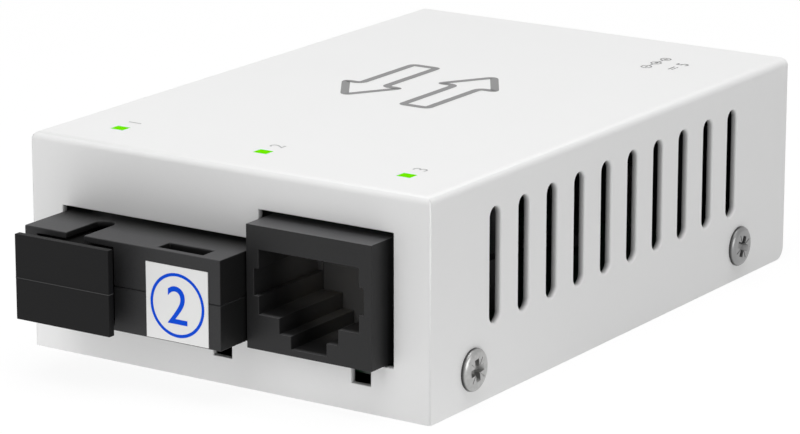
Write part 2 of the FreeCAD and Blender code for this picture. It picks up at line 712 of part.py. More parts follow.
def make_module():
    upper = make_shell("module_upper_shell", "parting", "module_top")
    cut_away(upper, "XY", "parting", "module_top + 1", draw_slot,
             "port_middle", "module_front - 1", "module_front + key_long", "key_wide", False)
    window_right = "module_right - window_from_side"
    window_front = "module_front + window_from_front"
    cut_away(upper, "XY", "parting", "module_top + 1", draw_box, f"{window_right} - window_wide",
             window_front, window_right, f"{window_front} + window_deep")
    piece(upper)

    lower = make_shell("module_lower_shell", "module_low", "parting")
    row = "pin_pitch * pin_count / 2"
    cut_away(lower, "XY", "module_low - 1", "bay_low + 0.1", draw_box,
             f"module_middle - {row}", "pin_row - pin_hole", f"module_middle + {row}", "pin_row + pin_hole")
    for across in ("module_left", "module_right - 2 * module_wall"):
        for along in ("board_front + module_wall", "module_rear - 2 * module_wall"):
            extrude(lower, "XY", "board_top", "module_low", draw_box,
                    across, along, f"{across} + 2 * module_wall", f"{along} + 2 * module_wall")
    piece(lower)

    barrel = new_body("fibre_receptacle")
    extrude(barrel, "XZ", "barrel_front", "bay_front", draw_circle, "port_middle", "parting", "barrel_wide")
    extrude(barrel, "XZ", "bay_front", "optic_front", draw_box, "port_middle - flange_wide / 2",
            "parting - flange_wide / 2", "port_middle + flange_wide / 2", "parting + flange_wide / 2")
    cut_away(barrel, "XZ", "barrel_front - 1", "optic_front", draw_circle,
             "port_middle", "parting", "ferrule_wide")
    piece(barrel)

    # Sealed sub-assembly behind the bulkhead: laser and receiver in one block.
    piece(block("optical_block", "port_middle - optic_wide / 2", "optic_front", "parting - optic_wide / 2",
                "port_middle + optic_wide / 2", "optic_front + optic_long", "parting + optic_wide / 2"))
    latch = new_body("port_latch")
    extrude(latch, "XZ", "port_end - latch_plate", "port_end", draw_box,
            "port_middle - stem_half_wide", "parting - stem_half_tall",
            "port_middle + stem_half_wide", "parting + stem_half_tall")
    hole = "(barrel_wide / 2 + barrel_gap)"
    cut_away(latch, "XZ", "port_end - latch_plate - 0.1", "port_end + 0.1", draw_box,
             f"port_middle - {hole}", f"parting - {hole}", f"port_middle + {hole}", f"parting + {hole}")
    arm_front = "port_end - latch_plate - latch_arm_long"
    for side in ("-", "+"):
        outer = f"port_middle {side} stem_half_wide"
        inner = f"port_middle {side} (stem_half_wide - latch_arm_thick)"
        hook = f"port_middle {side} (stem_half_wide - 2 * latch_arm_thick)"
        extrude(latch, "XY", "parting - latch_arm_tall / 2", "parting + latch_arm_tall / 2", draw_polygon, [
            (outer, "port_end - latch_plate"), (outer, arm_front), (inner, arm_front),
            (hook, f"{arm_front} + latch_arm_thick"), (inner, f"{arm_front} + 2 * latch_arm_thick"),
            (inner, "port_end - latch_plate")])
    piece(latch)

    piece(block("module_board", "module_left + module_wall + barrel_gap", "bay_front + barrel_gap", "bay_low",
                "module_right - module_wall - barrel_gap", "bay_rear - barrel_gap",
                "bay_low + module_board_thick"))
    for number in range(int(size("pin_count"))):
        middle = f"module_middle + pin_pitch * ({number} - (pin_count - 1) / 2)"
        piece(block(f"module_pin_{number + 1}", f"{middle} - pin_thick / 2", "pin_row - pin_thick / 2",
                    "board_low - pin_below", f"{middle} + pin_thick / 2", "pin_row + pin_thick / 2",
                    "bay_low"))

    label_right = "module_right - label_from_side"
    piece(block("module_label", f"{label_right} - label_wide", "module_front - label_thick",
                "module_low + label_up", label_right, "module_front", "module_low + label_up + label_tall"))


# ---- Dust cap: plate with bevelled back edges and a hollow stem --------------------------------------------

def make_cap():
    body = new_body("dust_cap")
    middle = "port_middle + cap_shift"
    extrude(body, "XZ", "cap_front", "cap_back", draw_box,
            f"{middle} - cap_wide / 2", "parting - cap_tall / 2",
            f"{middle} + cap_wide / 2", "parting + cap_tall / 2")
    back = size("cap_back")
    soften(body, "cap_bevel", lambda b: at(b.YMin, back) and at(b.YMax, back), "Chamfer")
    extrude(body, "XZ", "cap_back - 0.1", "stem_end", draw_box,
            "port_middle - stem_half_wide", "parting - stem_half_tall",
            "port_middle + stem_half_wide", "parting + stem_half_tall")
    cut_away(body, "XZ", "stem_end - stem_hollow", "stem_end + 1", draw_box,
             "port_middle - stem_half_wide + stem_wall", "parting - stem_half_tall + stem_wall",
             "port_middle + stem_half_wide - stem_wall", "parting + stem_half_tall - stem_wall")
    piece(body)


# ---- Network jack ------------------------------------------------------------------------------------------

def make_jack():
    body = new_body("jack_housing")
    extrude(body, "XY", "jack_low", "jack_top", draw_box,
            "jack_left", "jack_front", "jack_right", "jack_rear")
    levels = [("socket_wide / 2", "socket_top"), ("socket_wide / 2", "jack_low + side_recess_high"),
              ("socket_wide / 2 + recess_side", "jack_low + side_recess_high"),
              ("socket_wide / 2 + recess_side", "jack_low + side_recess_low"),
              ("socket_wide / 2", "jack_low + side_recess_low"),
              ("socket_wide / 2", "jack_low + shelf_height"),
              ("step_wide / 2", "jack_low + shelf_height"), ("step_wide / 2", "jack_low + step_height"),
              ("catch_wide / 2", "jack_low + step_height"), ("catch_wide / 2", "jack_low + catch_height")]
    outline = [(f"jack_middle + {half}", height) for half, height in levels]
    outline += [(f"jack_middle - ({half})", height) for half, height in reversed(levels)]
    cut_away(body, "XZ", "jack_front - 1", "socket_end", draw_polygon, outline)
    cut_away(body, "XZ", "socket_end - 0.1", "jack_rear + 1", draw_box, "jack_middle - socket_wide / 2",
             "jack_low - 1", "jack_middle + socket_wide / 2", "socket_top")
    for left in ("jack_left", "jack_right - foot_wide"):
        for along in ("board_front", "socket_end - foot_wide"):
            extrude(body, "XY", "board_top", "jack_low", draw_box,
                    left, along, f"{left} + foot_wide", f"{along} + foot_wide")
    piece(body)

    # Insert: block behind the socket that the eight spring wires run over and down.
    half = "socket_wide / 2 - insert_fit"
    piece(block("jack_insert", f"jack_middle - ({half})", "socket_end", "board_top",
                f"jack_middle + {half}", "tail_face", "wire_under"))
    profile = [("tail_back", "wire_top"), ("tip_front", "wire_top"),
               ("tip_front - contact_thick / 2", "wire_top - contact_thick"),
               ("socket_end - 2 * contact_thick", "wire_top - contact_drop"),
               ("socket_end - contact_thick", "wire_top - contact_drop + contact_thick"),
               ("tip_front + 2 * contact_thick", "wire_under"), ("tail_face", "wire_under"),
               ("tail_face", "board_top"), ("tail_back", "board_top")]
    for number in range(int(size("contact_count"))):
        wire = new_body(f"jack_contact_{number + 1}")
        middle = f"jack_middle + contact_pitch * ({number} - (contact_count - 1) / 2)"
        extrude(wire, "YZ", f"{middle} - contact_wide / 2", f"{middle} + contact_wide / 2",
                draw_polygon, profile)
        piece(wire)


# ---- Lamps on the board and the light pipes above them -----------------------------------------------------

def make_lamps():
    head, foot = "lamp_window_deep / 2 - pipe_gap", "pipe_thick / 2"
    arm_low, leg_low = "inside_top - pipe_thick", "board_top + lamp_tall + pipe_air"
    for name, place in (("left", "-lamp_side"), ("middle", "lamp_centre"), ("right", "lamp_side")):
        pipe = new_body(f"light_pipe_{name}")
        half = "lamp_window_wide / 2 - pipe_gap"
        extrude(pipe, "YZ", f"{place} - ({half})", f"{place} + {half}", draw_polygon, [
            (f"lamp_row - ({head})", "case_tall - pipe_gap"), (f"lamp_row - ({head})", arm_low),
            (f"lamp_place - {foot}", arm_low), (f"lamp_place - {foot}", leg_low),
            (f"lamp_place + {foot}", leg_low), (f"lamp_place + {foot}", "inside_top"),
            (f"lamp_row + {head}", "inside_top"), (f"lamp_row + {head}", "case_tall - pipe_gap")])
        piece(pipe)
        piece(block(f"lamp_{name}", f"{place} - lamp_wide / 2", "lamp_place - lamp_deep / 2", "board_top",
                    f"{place} + lamp_wide / 2", "lamp_place + lamp_deep / 2", "board_top + lamp_tall"))


# ---- Power inlet -------------------------------------------------------------------------------------------

def make_inlet():
    body = new_body("power_inlet")
    extrude(body, "XZ", "inlet_face - inlet_collar", "inlet_face", draw_box, "inlet_middle - inlet_wide / 2",
            "board_top", "inlet_middle + inlet_wide / 2", "board_top + inlet_tall")
    extrude(body, "XZ", "inlet_back", "inlet_face - inlet_collar", draw_box,
            "inlet_middle - inlet_barrel / 2", "board_top",
            "inlet_middle + inlet_barrel / 2", "inlet_height + inlet_barrel / 2")
    cut_away(body, "XZ", "inlet_bore_end", "inlet_face + 1", draw_circle,
             "inlet_middle", "inlet_height", "socket_round")
    shank = "(inlet_pin / 2 + inlet_gap)"
    cut_away(body, "XZ", "inlet_back - 1", "inlet_bore_end + 0.1", draw_box, f"inlet_middle - {shank}",
             f"inlet_height - {shank}", f"inlet_middle + {shank}", f"inlet_height + {shank}")
    leaf_low = "inlet_height - socket_round / 2 - inlet_leaf"
    cut_away(body, "XZ", "inlet_bore_end", "inlet_bore_end + inlet_leaf_long", draw_box,
             "inlet_middle - inlet_leaf_wide / 2 - inlet_gap", "board_top - 1",
             "inlet_middle + inlet_leaf_wide / 2 + inlet_gap", "inlet_height")
    piece(body)

    pin = new_body("inlet_pin")
    tip, radius = "inlet_face - inlet_pin_back", "inlet_pin / 2"
    extrude(pin, "XZ", "inlet_bore_end", tip, draw_circle, "inlet_middle", "inlet_height", "inlet_pin")
    extrude(pin, "XZ", "inlet_back - inlet_leaf", "inlet_bore_end", draw_box, f"inlet_middle - {radius}",
            f"inlet_height - {radius}", f"inlet_middle + {radius}", f"inlet_height + {radius}")
    extrude(pin, "XZ", "inlet_back - 2 * inlet_leaf", "inlet_back - inlet_leaf", draw_box,
            f"inlet_middle - {radius}", "board_top", f"inlet_middle + {radius}", f"inlet_height + {radius}")
    piece(pin)

    leaf = new_body("inlet_leaf_contact")
    low, far = "inlet_bore_end + inlet_gap", "inlet_bore_end + inlet_leaf_long - inlet_gap"
    extrude(leaf, "YZ", "inlet_middle - inlet_leaf_wide / 2", "inlet_middle + inlet_leaf_wide / 2",
            draw_polygon, [
                (low, "board_top"), (f"{low} + inlet_leaf", "board_top"), (f"{low} + inlet_leaf", leaf_low),
                (far, f"{leaf_low} + inlet_leaf"), (far, f"{leaf_low} + 2 * inlet_leaf"),
                (low, f"{leaf_low} + inlet_leaf")])
    piece(leaf)


# ---- Parts on the board ------------------------------------------------------------------------------------

def make_electronics():
    chip = new_body("converter_chip")
    left, front = "chip_middle - chip_wide / 2", "middle_row - chip_wide / 2"
    extrude(chip, "XY", "board_top", "board_top + chip_tall", draw_box, left, front,
            "chip_middle + chip_wide / 2", "middle_row + chip_wide / 2")
    corner_x = size("chip_middle") - size("chip_wide") / 2
    corner_y = size("middle_row") - size("chip_wide") / 2
    soften(chip, "chip_corner", lambda b: at(b.XMin, corner_x) and at(b.XMax, corner_x) and (
        at(b.YMin, corner_y) and at(b.YMax, corner_y)), "Chamfer")
    piece(chip)

    # Isolating transformer: moulded box on leads along both sides.
    coil = new_body("line_transformer")
    lift = "board_top + coil_lead_thick"
    extrude(coil, "XY", lift, f"{lift} + coil_box_tall", draw_box,
            "jack_middle - coil_box_wide / 2", "coil_place - coil_box_deep / 2",
            "jack_middle + coil_box_wide / 2", "coil_place + coil_box_deep / 2")
    first = "jack_middle - coil_lead_pitch * (coil_lead_count - 1) / 2"
    reach = "coil_box_deep / 2 + coil_lead_reach"
    leads = extrude(coil, "XY", "board_top", "board_top + 2 * coil_lead_thick", draw_box,
                    f"{first} - coil_lead_thick", f"coil_place - ({reach})",
                    f"{first} + coil_lead_thick", f"coil_place + {reach}")
    repeat_along(coil, leads, "X_Axis", "coil_lead_pitch * (coil_lead_count - 1)", "coil_lead_count")
    piece(coil)

    piece(block("clock_crystal",
                "crystal_middle - crystal_wide / 2", "middle_row - crystal_long / 2", "board_top",
                "crystal_middle + crystal_wide / 2", "middle_row + crystal_long / 2",
                "board_top + crystal_tall"))

    # Can capacitor on a square base.
    can = new_body("filter_capacitor")
    half = "capacitor_wide / 2"
    extrude(can, "XY", "board_top", "board_top + capacitor_base", draw_box, f"capacitor_middle - {half}",
            f"rear_row - {half}", f"capacitor_middle + {half}", f"rear_row + {half}")
    extrude(can, "XY", "board_top + capacitor_base", "board_top + capacitor_tall", draw_circle,
            "capacitor_middle", "rear_row", "capacitor_wide")
    piece(can)

    choke = new_body("power_inductor")
    half = "inductor_wide / 2"
    extrude(choke, "XY", "board_top", "board_top + inductor_tall", draw_box, f"inductor_middle - {half}",
            f"rear_row - {half}", f"inductor_middle + {half}", f"rear_row + {half}")
    upright = size("inductor_tall")
    soften(choke, "inductor_corner", lambda b: at(b.ZLength, upright), "Chamfer")
    piece(choke)

    # Regulator: three leads in front and a tab behind.
    regulator = new_body("voltage_regulator")
    lift, half = "board_top + regulator_lead", "regulator_wide / 2"
    front, back = "middle_row - regulator_deep / 2", "middle_row + regulator_deep / 2"
    extrude(regulator, "XY", lift, "board_top + regulator_tall", draw_box,
            f"regulator_middle - {half}", front, f"regulator_middle + {half}", back)
    half = "regulator_tab / 2"
    extrude(regulator, "XY", "board_top", f"{lift} + regulator_lead", draw_box, f"regulator_middle - {half}",
            "middle_row", f"regulator_middle + {half}", f"{back} + regulator_reach")
    for place in ("-regulator_pitch", "0", "regulator_pitch"):
        extrude(regulator, "XY", "board_top", f"{lift} + regulator_lead", draw_box,
                f"regulator_middle + ({place}) - regulator_lead", f"{front} - regulator_reach",
                f"regulator_middle + ({place}) + regulator_lead", "middle_row")
    piece(regulator)

    chips = []
    for number in range(int(size("small_count"))):
        across = f"small_first + small_pitch * {number}"
        chips.append(block("small_chip", across, "small_row", "board_top", f"{across} + small_wide",
                           "small_row + small_long", "board_top + small_tall"))
    piece(group("small_parts", chips))


make_cover()
make_tray()
make_fasteners()
make_board()
make_module()
make_cap()
make_jack()
make_lamps()
make_inlet()
make_electronics()
doc.recompute()

for item in doc.Objects:
    if "Invalid" in item.State or "Error" in item.State:
        raise ValueError(f"{item.Label} did not compute: {item.State}")
for item in pieces:
    if item.Shape.isNull() or not item.Shape.isValid():
        raise ValueError(f"{item.Label} has no valid shape")

os.makedirs("parts", exist_ok=True)
for item in pieces:
    item.Shape.exportStep(f"parts/{item.Label}.step")
print(len(pieces), "sub-parts written")
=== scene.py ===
import math

import bmesh
import bpy
from mathutils import Matrix, Vector


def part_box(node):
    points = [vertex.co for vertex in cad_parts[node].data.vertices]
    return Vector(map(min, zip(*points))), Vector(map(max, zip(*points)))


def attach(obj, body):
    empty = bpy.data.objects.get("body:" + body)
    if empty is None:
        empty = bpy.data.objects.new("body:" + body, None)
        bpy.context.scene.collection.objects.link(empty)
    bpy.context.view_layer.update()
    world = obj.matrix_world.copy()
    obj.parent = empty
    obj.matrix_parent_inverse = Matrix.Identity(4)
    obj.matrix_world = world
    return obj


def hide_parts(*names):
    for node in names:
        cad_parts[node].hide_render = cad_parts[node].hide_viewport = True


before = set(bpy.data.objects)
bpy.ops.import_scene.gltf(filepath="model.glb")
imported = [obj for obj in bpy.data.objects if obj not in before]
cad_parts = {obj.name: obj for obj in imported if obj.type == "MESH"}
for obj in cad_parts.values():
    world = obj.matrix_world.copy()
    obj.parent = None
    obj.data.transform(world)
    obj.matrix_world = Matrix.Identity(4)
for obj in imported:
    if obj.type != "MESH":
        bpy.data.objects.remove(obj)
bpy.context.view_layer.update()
MM = 0.001


# ---- Tray ---------------------------------------------------------------------------------------------
# The lower half of the case: 0.8 mm steel, punched and folded into a floor, two low side flanges and the
# rear panel with the round hole of the power inlet. It is powder coated white. The coat rounds every cut
# edge, has a fine orange peel, and thins out to bare steel on the faces that end up inside. That steel is
# painted dark as painted shade, and the fade across the cover's vent walls is partly the thinning coat and partly
# painted shade.

COAT_EDGE = 0.11 * MM
COAT_WHITE = (0.87, 0.87, 0.868)
# Bare steel of the inner faces, painted dark as painted shade.
SHADED_BARE_STEEL = (0.04, 0.04, 0.041)
COAT_REACH = (0.2 * MM, 1.1 * MM)        # depth under the outer faces where the coat starts and ends to thin out; partly painted shade
SHEET = 0.8 * MM
SHEET_BACK = SHEET - 0.005 * MM          # depth past which a face is the back of the sheet
MERGE = 0.001 * MM                       # points nearer than this are one
FLAT_TURN = math.radians(0.4)            # faces that turn by less are one flat face
EDGE_TURN = math.radians(30)             # edges that turn by more are rounded
SHARP_TURN = math.radians(50)            # edges that turn by more keep a hard line in the shading


def new_item(name, data):
    """Object of its own for a mesh, a curve, a lamp or the camera, put in the scene."""
    item = bpy.data.objects.new(name, data)
    bpy.context.scene.collection.objects.link(item)
    return item


def joined_copy(node):
    """Mesh of a frame node with its loose triangles joined up and its flat faces made whole."""
    mesh = bmesh.new()
    mesh.from_mesh(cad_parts[node].data)
    bmesh.ops.remove_doubles(mesh, verts=mesh.verts, dist=MERGE)
    bmesh.ops.dissolve_limit(mesh, angle_limit=FLAT_TURN, use_dissolve_boundaries=False,
                             verts=mesh.verts, edges=mesh.edges, delimit=set())
    return mesh


def sharp_edges(mesh, spared=None):
    """Edges whose two faces turn enough to be rounded, without those that the spared test names."""
    return [edge for edge in mesh.edges if len(edge.link_faces) == 2
            and edge.calc_face_angle(0.0) > EDGE_TURN and not (spared and spared(edge))]


def round_off(mesh, edges, radius, steps=2):
    """Round a set of edges."""
    bmesh.ops.bevel(mesh, geom=edges, offset=radius, offset_type="OFFSET", segments=steps, profile=0.5,
                    affect="EDGES", clamp_overlap=False, material=-1)


def as_piece(mesh, name, flats=True):
    """Turn a bmesh into an object of its own, shaded smooth with its flat faces kept flat."""
    data = bpy.data.meshes.new(name)
    for face in mesh.faces:
        face.smooth = True
    for edge in mesh.edges:
        edge.smooth = len(edge.link_faces) != 2 or edge.calc_face_angle(0.0) < SHARP_TURN
    mesh.to_mesh(data)
    mesh.free()
    item = new_item(name, data)
    if flats:
        item.modifiers.new("flats", "WEIGHTED_NORMAL").keep_sharp = True
    return item


def fit(item, material, slot, *nodes, body="converter"):
    """Give a piece its material, let it ride on its body, and put it in place of frame nodes; the slot is not
    used.
    """
    item.data.materials.clear()
    item.data.materials.append(material)
    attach(item, body)
    if nodes:
        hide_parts(*nodes)


def new_group(name, inputs, outputs):
    """Empty shader node group with named sockets, its input and output nodes, and its tree."""
    tree = bpy.data.node_groups.new(name, "ShaderNodeTree")
    for label, kind, value in inputs:
        tree.interface.new_socket(label, in_out="INPUT", socket_type=kind).default_value = value
    for label, kind in outputs:
        tree.interface.new_socket(label, in_out="OUTPUT", socket_type=kind)
    return tree, tree.nodes.new("NodeGroupInput").outputs, tree.nodes.new("NodeGroupOutput").inputs


def place_group(tree, group, source=None, **values):
    """Put a shared effect into a material with its own values, and lead a colour socket into it."""
    effect = tree.nodes.new("ShaderNodeGroup")
    effect.node_tree = group
    for label, value in values.items():
        effect.inputs[label].default_value = value
    if source is not None:
        tree.links.new(source, effect.inputs["Colour"])
    return effect


def feed(tree, socket, source):
    """Set a socket to a number, or link another socket to it."""
    if isinstance(source, (int, float)):
        socket.default_value = source
    else:
        tree.links.new(source, socket)


def math_node(tree, operation, *sources):
    """Math node whose inputs are sockets or plain numbers; gives its output socket."""
    node = tree.nodes.new("ShaderNodeMath")
    node.operation = operation
    for socket, source in zip(node.inputs, sources):
        feed(tree, socket, source)
    return node.outputs["Value"]


def place_nodes(tree):
    """Object coordinates, as one vector socket and as its three parts."""
    place = tree.nodes.new("ShaderNodeTexCoord").outputs["Object"]
    parts = tree.nodes.new("ShaderNodeSeparateXYZ")
    tree.links.new(place, parts.inputs["Vector"])
    return place, parts.outputs["X"], parts.outputs["Y"], parts.outputs["Z"]


def noise_node(tree, scale, detail=2.0):
    """Noise over Object coordinates; scale is a number or a socket. Gives its value socket."""
    noise = tree.nodes.new("ShaderNodeTexNoise")
    noise.inputs["Detail"].default_value = detail
    tree.links.new(place_nodes(tree)[0], noise.inputs["Vector"])
    feed(tree, noise.inputs["Scale"], scale)
    return noise.outputs["Fac"]


def ramp_node(tree, value, start, end):
    """Smooth step of a value from 0 at start to 1 at end."""
    ramp = tree.nodes.new("ShaderNodeMapRange")
    ramp.interpolation_type = "SMOOTHSTEP"
    for label, source in (("Value", value), ("From Min", start), ("From Max", end)):
        feed(tree, ramp.inputs[label], source)
    return ramp.outputs["Result"]


def mix_node(tree, factor, first, second):
    """Mix of two colours, each a socket or a plain colour."""
    mix = tree.nodes.new("ShaderNodeMix")
    mix.data_type = "RGBA"
    feed(tree, mix.inputs["Factor"], factor)
    for socket, colour in ((mix.inputs[6], first), (mix.inputs[7], second)):
        if isinstance(colour, tuple):
            socket.default_value = (*colour, 1)
        else:
            tree.links.new(colour, socket)
    return mix.outputs[2]


# Grain: fine relief, and a broad slight change of tone and gloss, on every coated or moulded surface.
GRAIN_DETAIL = 3.0
BROAD_SCALE = 130.0
grain, grain_in, grain_out = new_group(
    "surface_grain",
    [("Colour", "NodeSocketColor", (0.8, 0.8, 0.8, 1)), ("Tone", "NodeSocketFloat", 0.04),
     ("Fineness", "NodeSocketFloat", 3000.0), ("Roughness", "NodeSocketFloat", 0.5),
     ("Spread", "NodeSocketFloat", 0.1)],
    [("Colour", "NodeSocketColor"), ("Roughness", "NodeSocketFloat"), ("Height", "NodeSocketFloat")])
fine = noise_node(grain, grain_in["Fineness"], GRAIN_DETAIL)
broad = noise_node(grain, BROAD_SCALE, GRAIN_DETAIL)
mean = math_node(grain, "MULTIPLY_ADD", fine, 0.5, math_node(grain, "MULTIPLY", broad, 0.5))
centred = math_node(grain, "SUBTRACT", mean, 0.5)
tone = grain.nodes.new("ShaderNodeHueSaturation")
grain.links.new(grain_in["Colour"], tone.inputs["Color"])
grain.links.new(math_node(grain, "MULTIPLY_ADD", centred, grain_in["Tone"], 1.0), tone.inputs["Value"])
grain.links.new(tone.outputs["Color"], grain_out["Colour"])
grain.links.new(math_node(grain, "MULTIPLY_ADD", centred, grain_in["Spread"], grain_in["Roughness"]),
                grain_out["Roughness"])
grain.links.new(fine, grain_out["Height"])


def grained(name, colour, roughness, fineness, relief, tone=0.08, spread=0.2, **own):
    """Material with the surface grain; relief is its depth in metres, own are the shader's own sockets."""
    material = bpy.data.materials.new(name)
    material.use_nodes = True
    tree = material.node_tree
    shader = tree.nodes["Principled BSDF"]
    effect = place_group(tree, grain, Colour=(*colour, 1), Tone=tone, Fineness=fineness, Roughness=roughness,
                         Spread=spread)
    effect.name = "grain"
    bump = tree.nodes.new("ShaderNodeBump")
    bump.inputs["Strength"].default_value = 1.0
    bump.inputs["Distance"].default_value = relief
    tree.links.new(effect.outputs["Height"], bump.inputs["Height"])
    tree.links.new(effect.outputs["Colour"], shader.inputs["Base Color"])
    tree.links.new(effect.outputs["Roughness"], shader.inputs["Roughness"])
    tree.links.new(bump.outputs["Normal"], shader.inputs["Normal"])
    for label, value in own.items():
        shader.inputs[label.replace("_", " ")].default_value = value
    return material


def recolour(material, *changes):
    """Pass a material's grained colour through more nodes on its way to the shader."""
    tree = material.node_tree
    colour = tree.nodes["grain"].outputs["Colour"]
    for change in changes:
        colour = change(tree, colour)
    tree.links.new(colour, tree.nodes["Principled BSDF"].inputs["Base Color"])
    return material


# Inside: with depth under the nearest outer face, a colour gives way to that of the inner walls, as painted shade
# in hollows; on the case's sheet this is also its bare steel.
FAR = 1.0                                # further than any wall, in metres
inside, inside_in, inside_out = new_group(
    "inner_walls_and_shade",
    [("Colour", "NodeSocketColor", (0.8, 0.8, 0.8, 1)), ("Inner", "NodeSocketColor", (*SHADED_BARE_STEEL, 1)),
     ("Left", "NodeSocketFloat", -FAR), ("Right", "NodeSocketFloat", FAR), ("Front", "NodeSocketFloat", -FAR),
     ("Rear", "NodeSocketFloat", FAR), ("Low", "NodeSocketFloat", -FAR), ("Top", "NodeSocketFloat", FAR),
     ("Start", "NodeSocketFloat", COAT_REACH[0]), ("End", "NodeSocketFloat", COAT_REACH[1]),
     ("Back", "NodeSocketFloat", SHEET_BACK)],
    [("Colour", "NodeSocketColor"), ("Mask", "NodeSocketFloat")])
across, along, up = place_nodes(inside)[1:]
depth = math_node(inside, "SUBTRACT", inside_in["Right"], across)
for outer, inner in ((across, inside_in["Left"]), (along, inside_in["Front"]), (inside_in["Rear"], along),
                     (up, inside_in["Low"]), (inside_in["Top"], up)):
    depth = math_node(inside, "MINIMUM", depth, math_node(inside, "SUBTRACT", outer, inner))
mask = math_node(inside, "MAXIMUM", ramp_node(inside, depth, inside_in["Start"], inside_in["End"]),
                 math_node(inside, "GREATER_THAN", depth, inside_in["Back"]))
inside.links.new(mix_node(inside, mask, inside_in["Colour"], inside_in["Inner"]), inside_out["Colour"])
inside.links.new(mask, inside_out["Mask"])


def with_inside(low, high, open_sides, inner, start, end, back):
    """Colour change for recolour: painted shade on the inner walls of a part whose box is given, but for its open
    sides.
    """
    sides = {"Left": low.x, "Right": high.x, "Front": low.y, "Rear": high.y, "Low": low.z, "Top": high.z}
    closed = {label: place for label, place in sides.items() if label not in open_sides}

    def change(tree, colour):
        return place_group(tree, inside, colour, Inner=(*inner, 1), Start=start, End=end, Back=back,
                           **closed).outputs["Colour"]
    return change


def coated(name, low, high, *open_sides):
    """Powder coat on a folded part whose box is given, with the sides that have no sheet, and painted shade on its
    inner faces.
    """
    return recolour(grained(name, COAT_WHITE, 0.45, 2300.0, 0.005 * MM, tone=0.03, spread=0.25,
                            Specular_IOR_Level=0.35),
                    with_inside(low, high, open_sides, SHADED_BARE_STEEL, *COAT_REACH, SHEET_BACK))


tray_low, tray_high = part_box("base_tray")
tray_coat = coated("tray_powder_coat", tray_low, tray_high, "Front", "Top")
tray_mesh = joined_copy("base_tray")
round_off(tray_mesh, sharp_edges(tray_mesh), COAT_EDGE)
fit(as_piece(tray_mesh, "tray_sheet"), tray_coat, "powder_white", "base_tray")


# ---- Posts and board screws ---------------------------------------------------------------------------
# Four hexagonal brass posts are pressed into the floor; two hexagon-head screws in bright zinc clamp the
# board to the rear pair.

def dress(material, slot, *nodes):
    """Give carried-over frame nodes their material; the slot is not used."""
    for node in nodes:
        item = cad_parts[node]
        item.data.materials.clear()
        item.data.materials.append(material)


post_brass = grained("turned_brass", (0.62, 0.45, 0.2), 0.32, 3500.0, 0.003 * MM, Metallic=1.0)
zinc = grained("zinc_plating", (0.5, 0.5, 0.49), 0.34, 4200.0, 0.003 * MM, tone=0.3, Metallic=1.0)
dress(post_brass, "brass_post", "standoffs")
dress(zinc, "zinc_screw", "board_screws")


# ---- Circuit board and what is soldered to it ---------------------------------------------------------
# Glass-epoxy laminate under very dark green solder resist, with the copper runs just showing. It carries
# the converter chip, the line transformer, a crystal, the supply parts and small ceramic blocks.

RESIST_GREEN = (0.006, 0.022, 0.012)
RUN_GREEN = (0.012, 0.045, 0.022)
RUN_EDGE = (0.05, 0.08)                  # where a run starts and ends to fade, as shares of its pitch
traces, traces_in, traces_out = new_group(
    "copper_runs", [("Resist", "NodeSocketColor", (*RESIST_GREEN, 1)), ("Run", "NodeSocketColor", (*RUN_GREEN, 1)),
                    ("Pitch", "NodeSocketFloat", 450.0)], [("Colour", "NodeSocketColor")])
cells = traces.nodes.new("ShaderNodeTexVoronoi")
cells.feature = "DISTANCE_TO_EDGE"
cells.distance = "EUCLIDEAN"
traces.links.new(place_nodes(traces)[0], cells.inputs["Vector"])
traces.links.new(traces_in["Pitch"], cells.inputs["Scale"])
run = math_node(traces, "SUBTRACT", 1.0, ramp_node(traces, cells.outputs["Distance"], *RUN_EDGE))
traces.links.new(mix_node(traces, run, traces_in["Resist"], traces_in["Run"]), traces_out["Colour"])


def board_coat(name, pitch):
    """Solder resist over copper runs of a given fineness."""
    material = grained(name, RESIST_GREEN, 0.3, 2500.0, 0.004 * MM)
    tree = material.node_tree
    tree.links.new(place_group(tree, traces, Pitch=pitch).outputs["Colour"], tree.nodes["grain"].inputs["Colour"])
    return material


dress(board_coat("main_board_resist", 420.0), "board_laminate", "circuit_board")
dress(board_coat("module_board_resist", 900.0), "board_laminate", "module_board")
epoxy = grained("moulded_epoxy", (0.022, 0.022, 0.023), 0.5, 6000.0, 0.005 * MM, tone=0.4)
ferrite = grained("ferrite", (0.045, 0.044, 0.043), 0.6, 5000.0, 0.01 * MM, tone=0.5)
ceramic = grained("ceramic", (0.2, 0.14, 0.09), 0.4, 6000.0, 0.003 * MM, tone=0.2)
can = grained("drawn_aluminium", (0.55, 0.55, 0.56), 0.3, 3000.0, 0.003 * MM, tone=0.2, Metallic=1.0)
nickel = grained("nickel_plating", (0.52, 0.5, 0.46), 0.3, 3600.0, 0.003 * MM, tone=0.2, Metallic=1.0)
dress(epoxy, "chip_black", "converter_chip", "voltage_regulator", "line_transformer")
dress(ferrite, "chip_black", "power_inductor")
dress(ceramic, "chip_black", "small_parts")
dress(can, "capacitor_can", "filter_capacitor")
dress(nickel, "steel_can", "clock_crystal")


# ---- Power inlet --------------------------------------------------------------------------------------
# Barrel inlet on the board, its round collar in the hole of the rear panel: black satin moulding round a
# nickel-plated centre pin and a sprung leaf contact.

MOULD_EDGE = 0.12 * MM
inlet_black = grained("inlet_moulding", (0.014, 0.014, 0.0145), 0.4, 5200.0, 0.005 * MM, tone=0.4)
inlet_mesh = joined_copy("power_inlet")
round_off(inlet_mesh, sharp_edges(inlet_mesh), MOULD_EDGE / 2)
fit(as_piece(inlet_mesh, "inlet_body"), inlet_black, "inlet_black", "power_inlet")
tin = grained("tin_plating", (0.6, 0.6, 0.58), 0.28, 4000.0, 0.002 * MM, tone=0.2, Metallic=1.0)
dress(nickel, "tinned_pin", "inlet_pin")
dress(tin, "tinned_pin", "inlet_leaf_contact")


# ---- Network jack -------------------------------------------------------------------------------------
# Unshielded eight-way jack: a moulded housing, an insert behind the socket and eight gold-flashed spring
# wires that lean down into the socket.

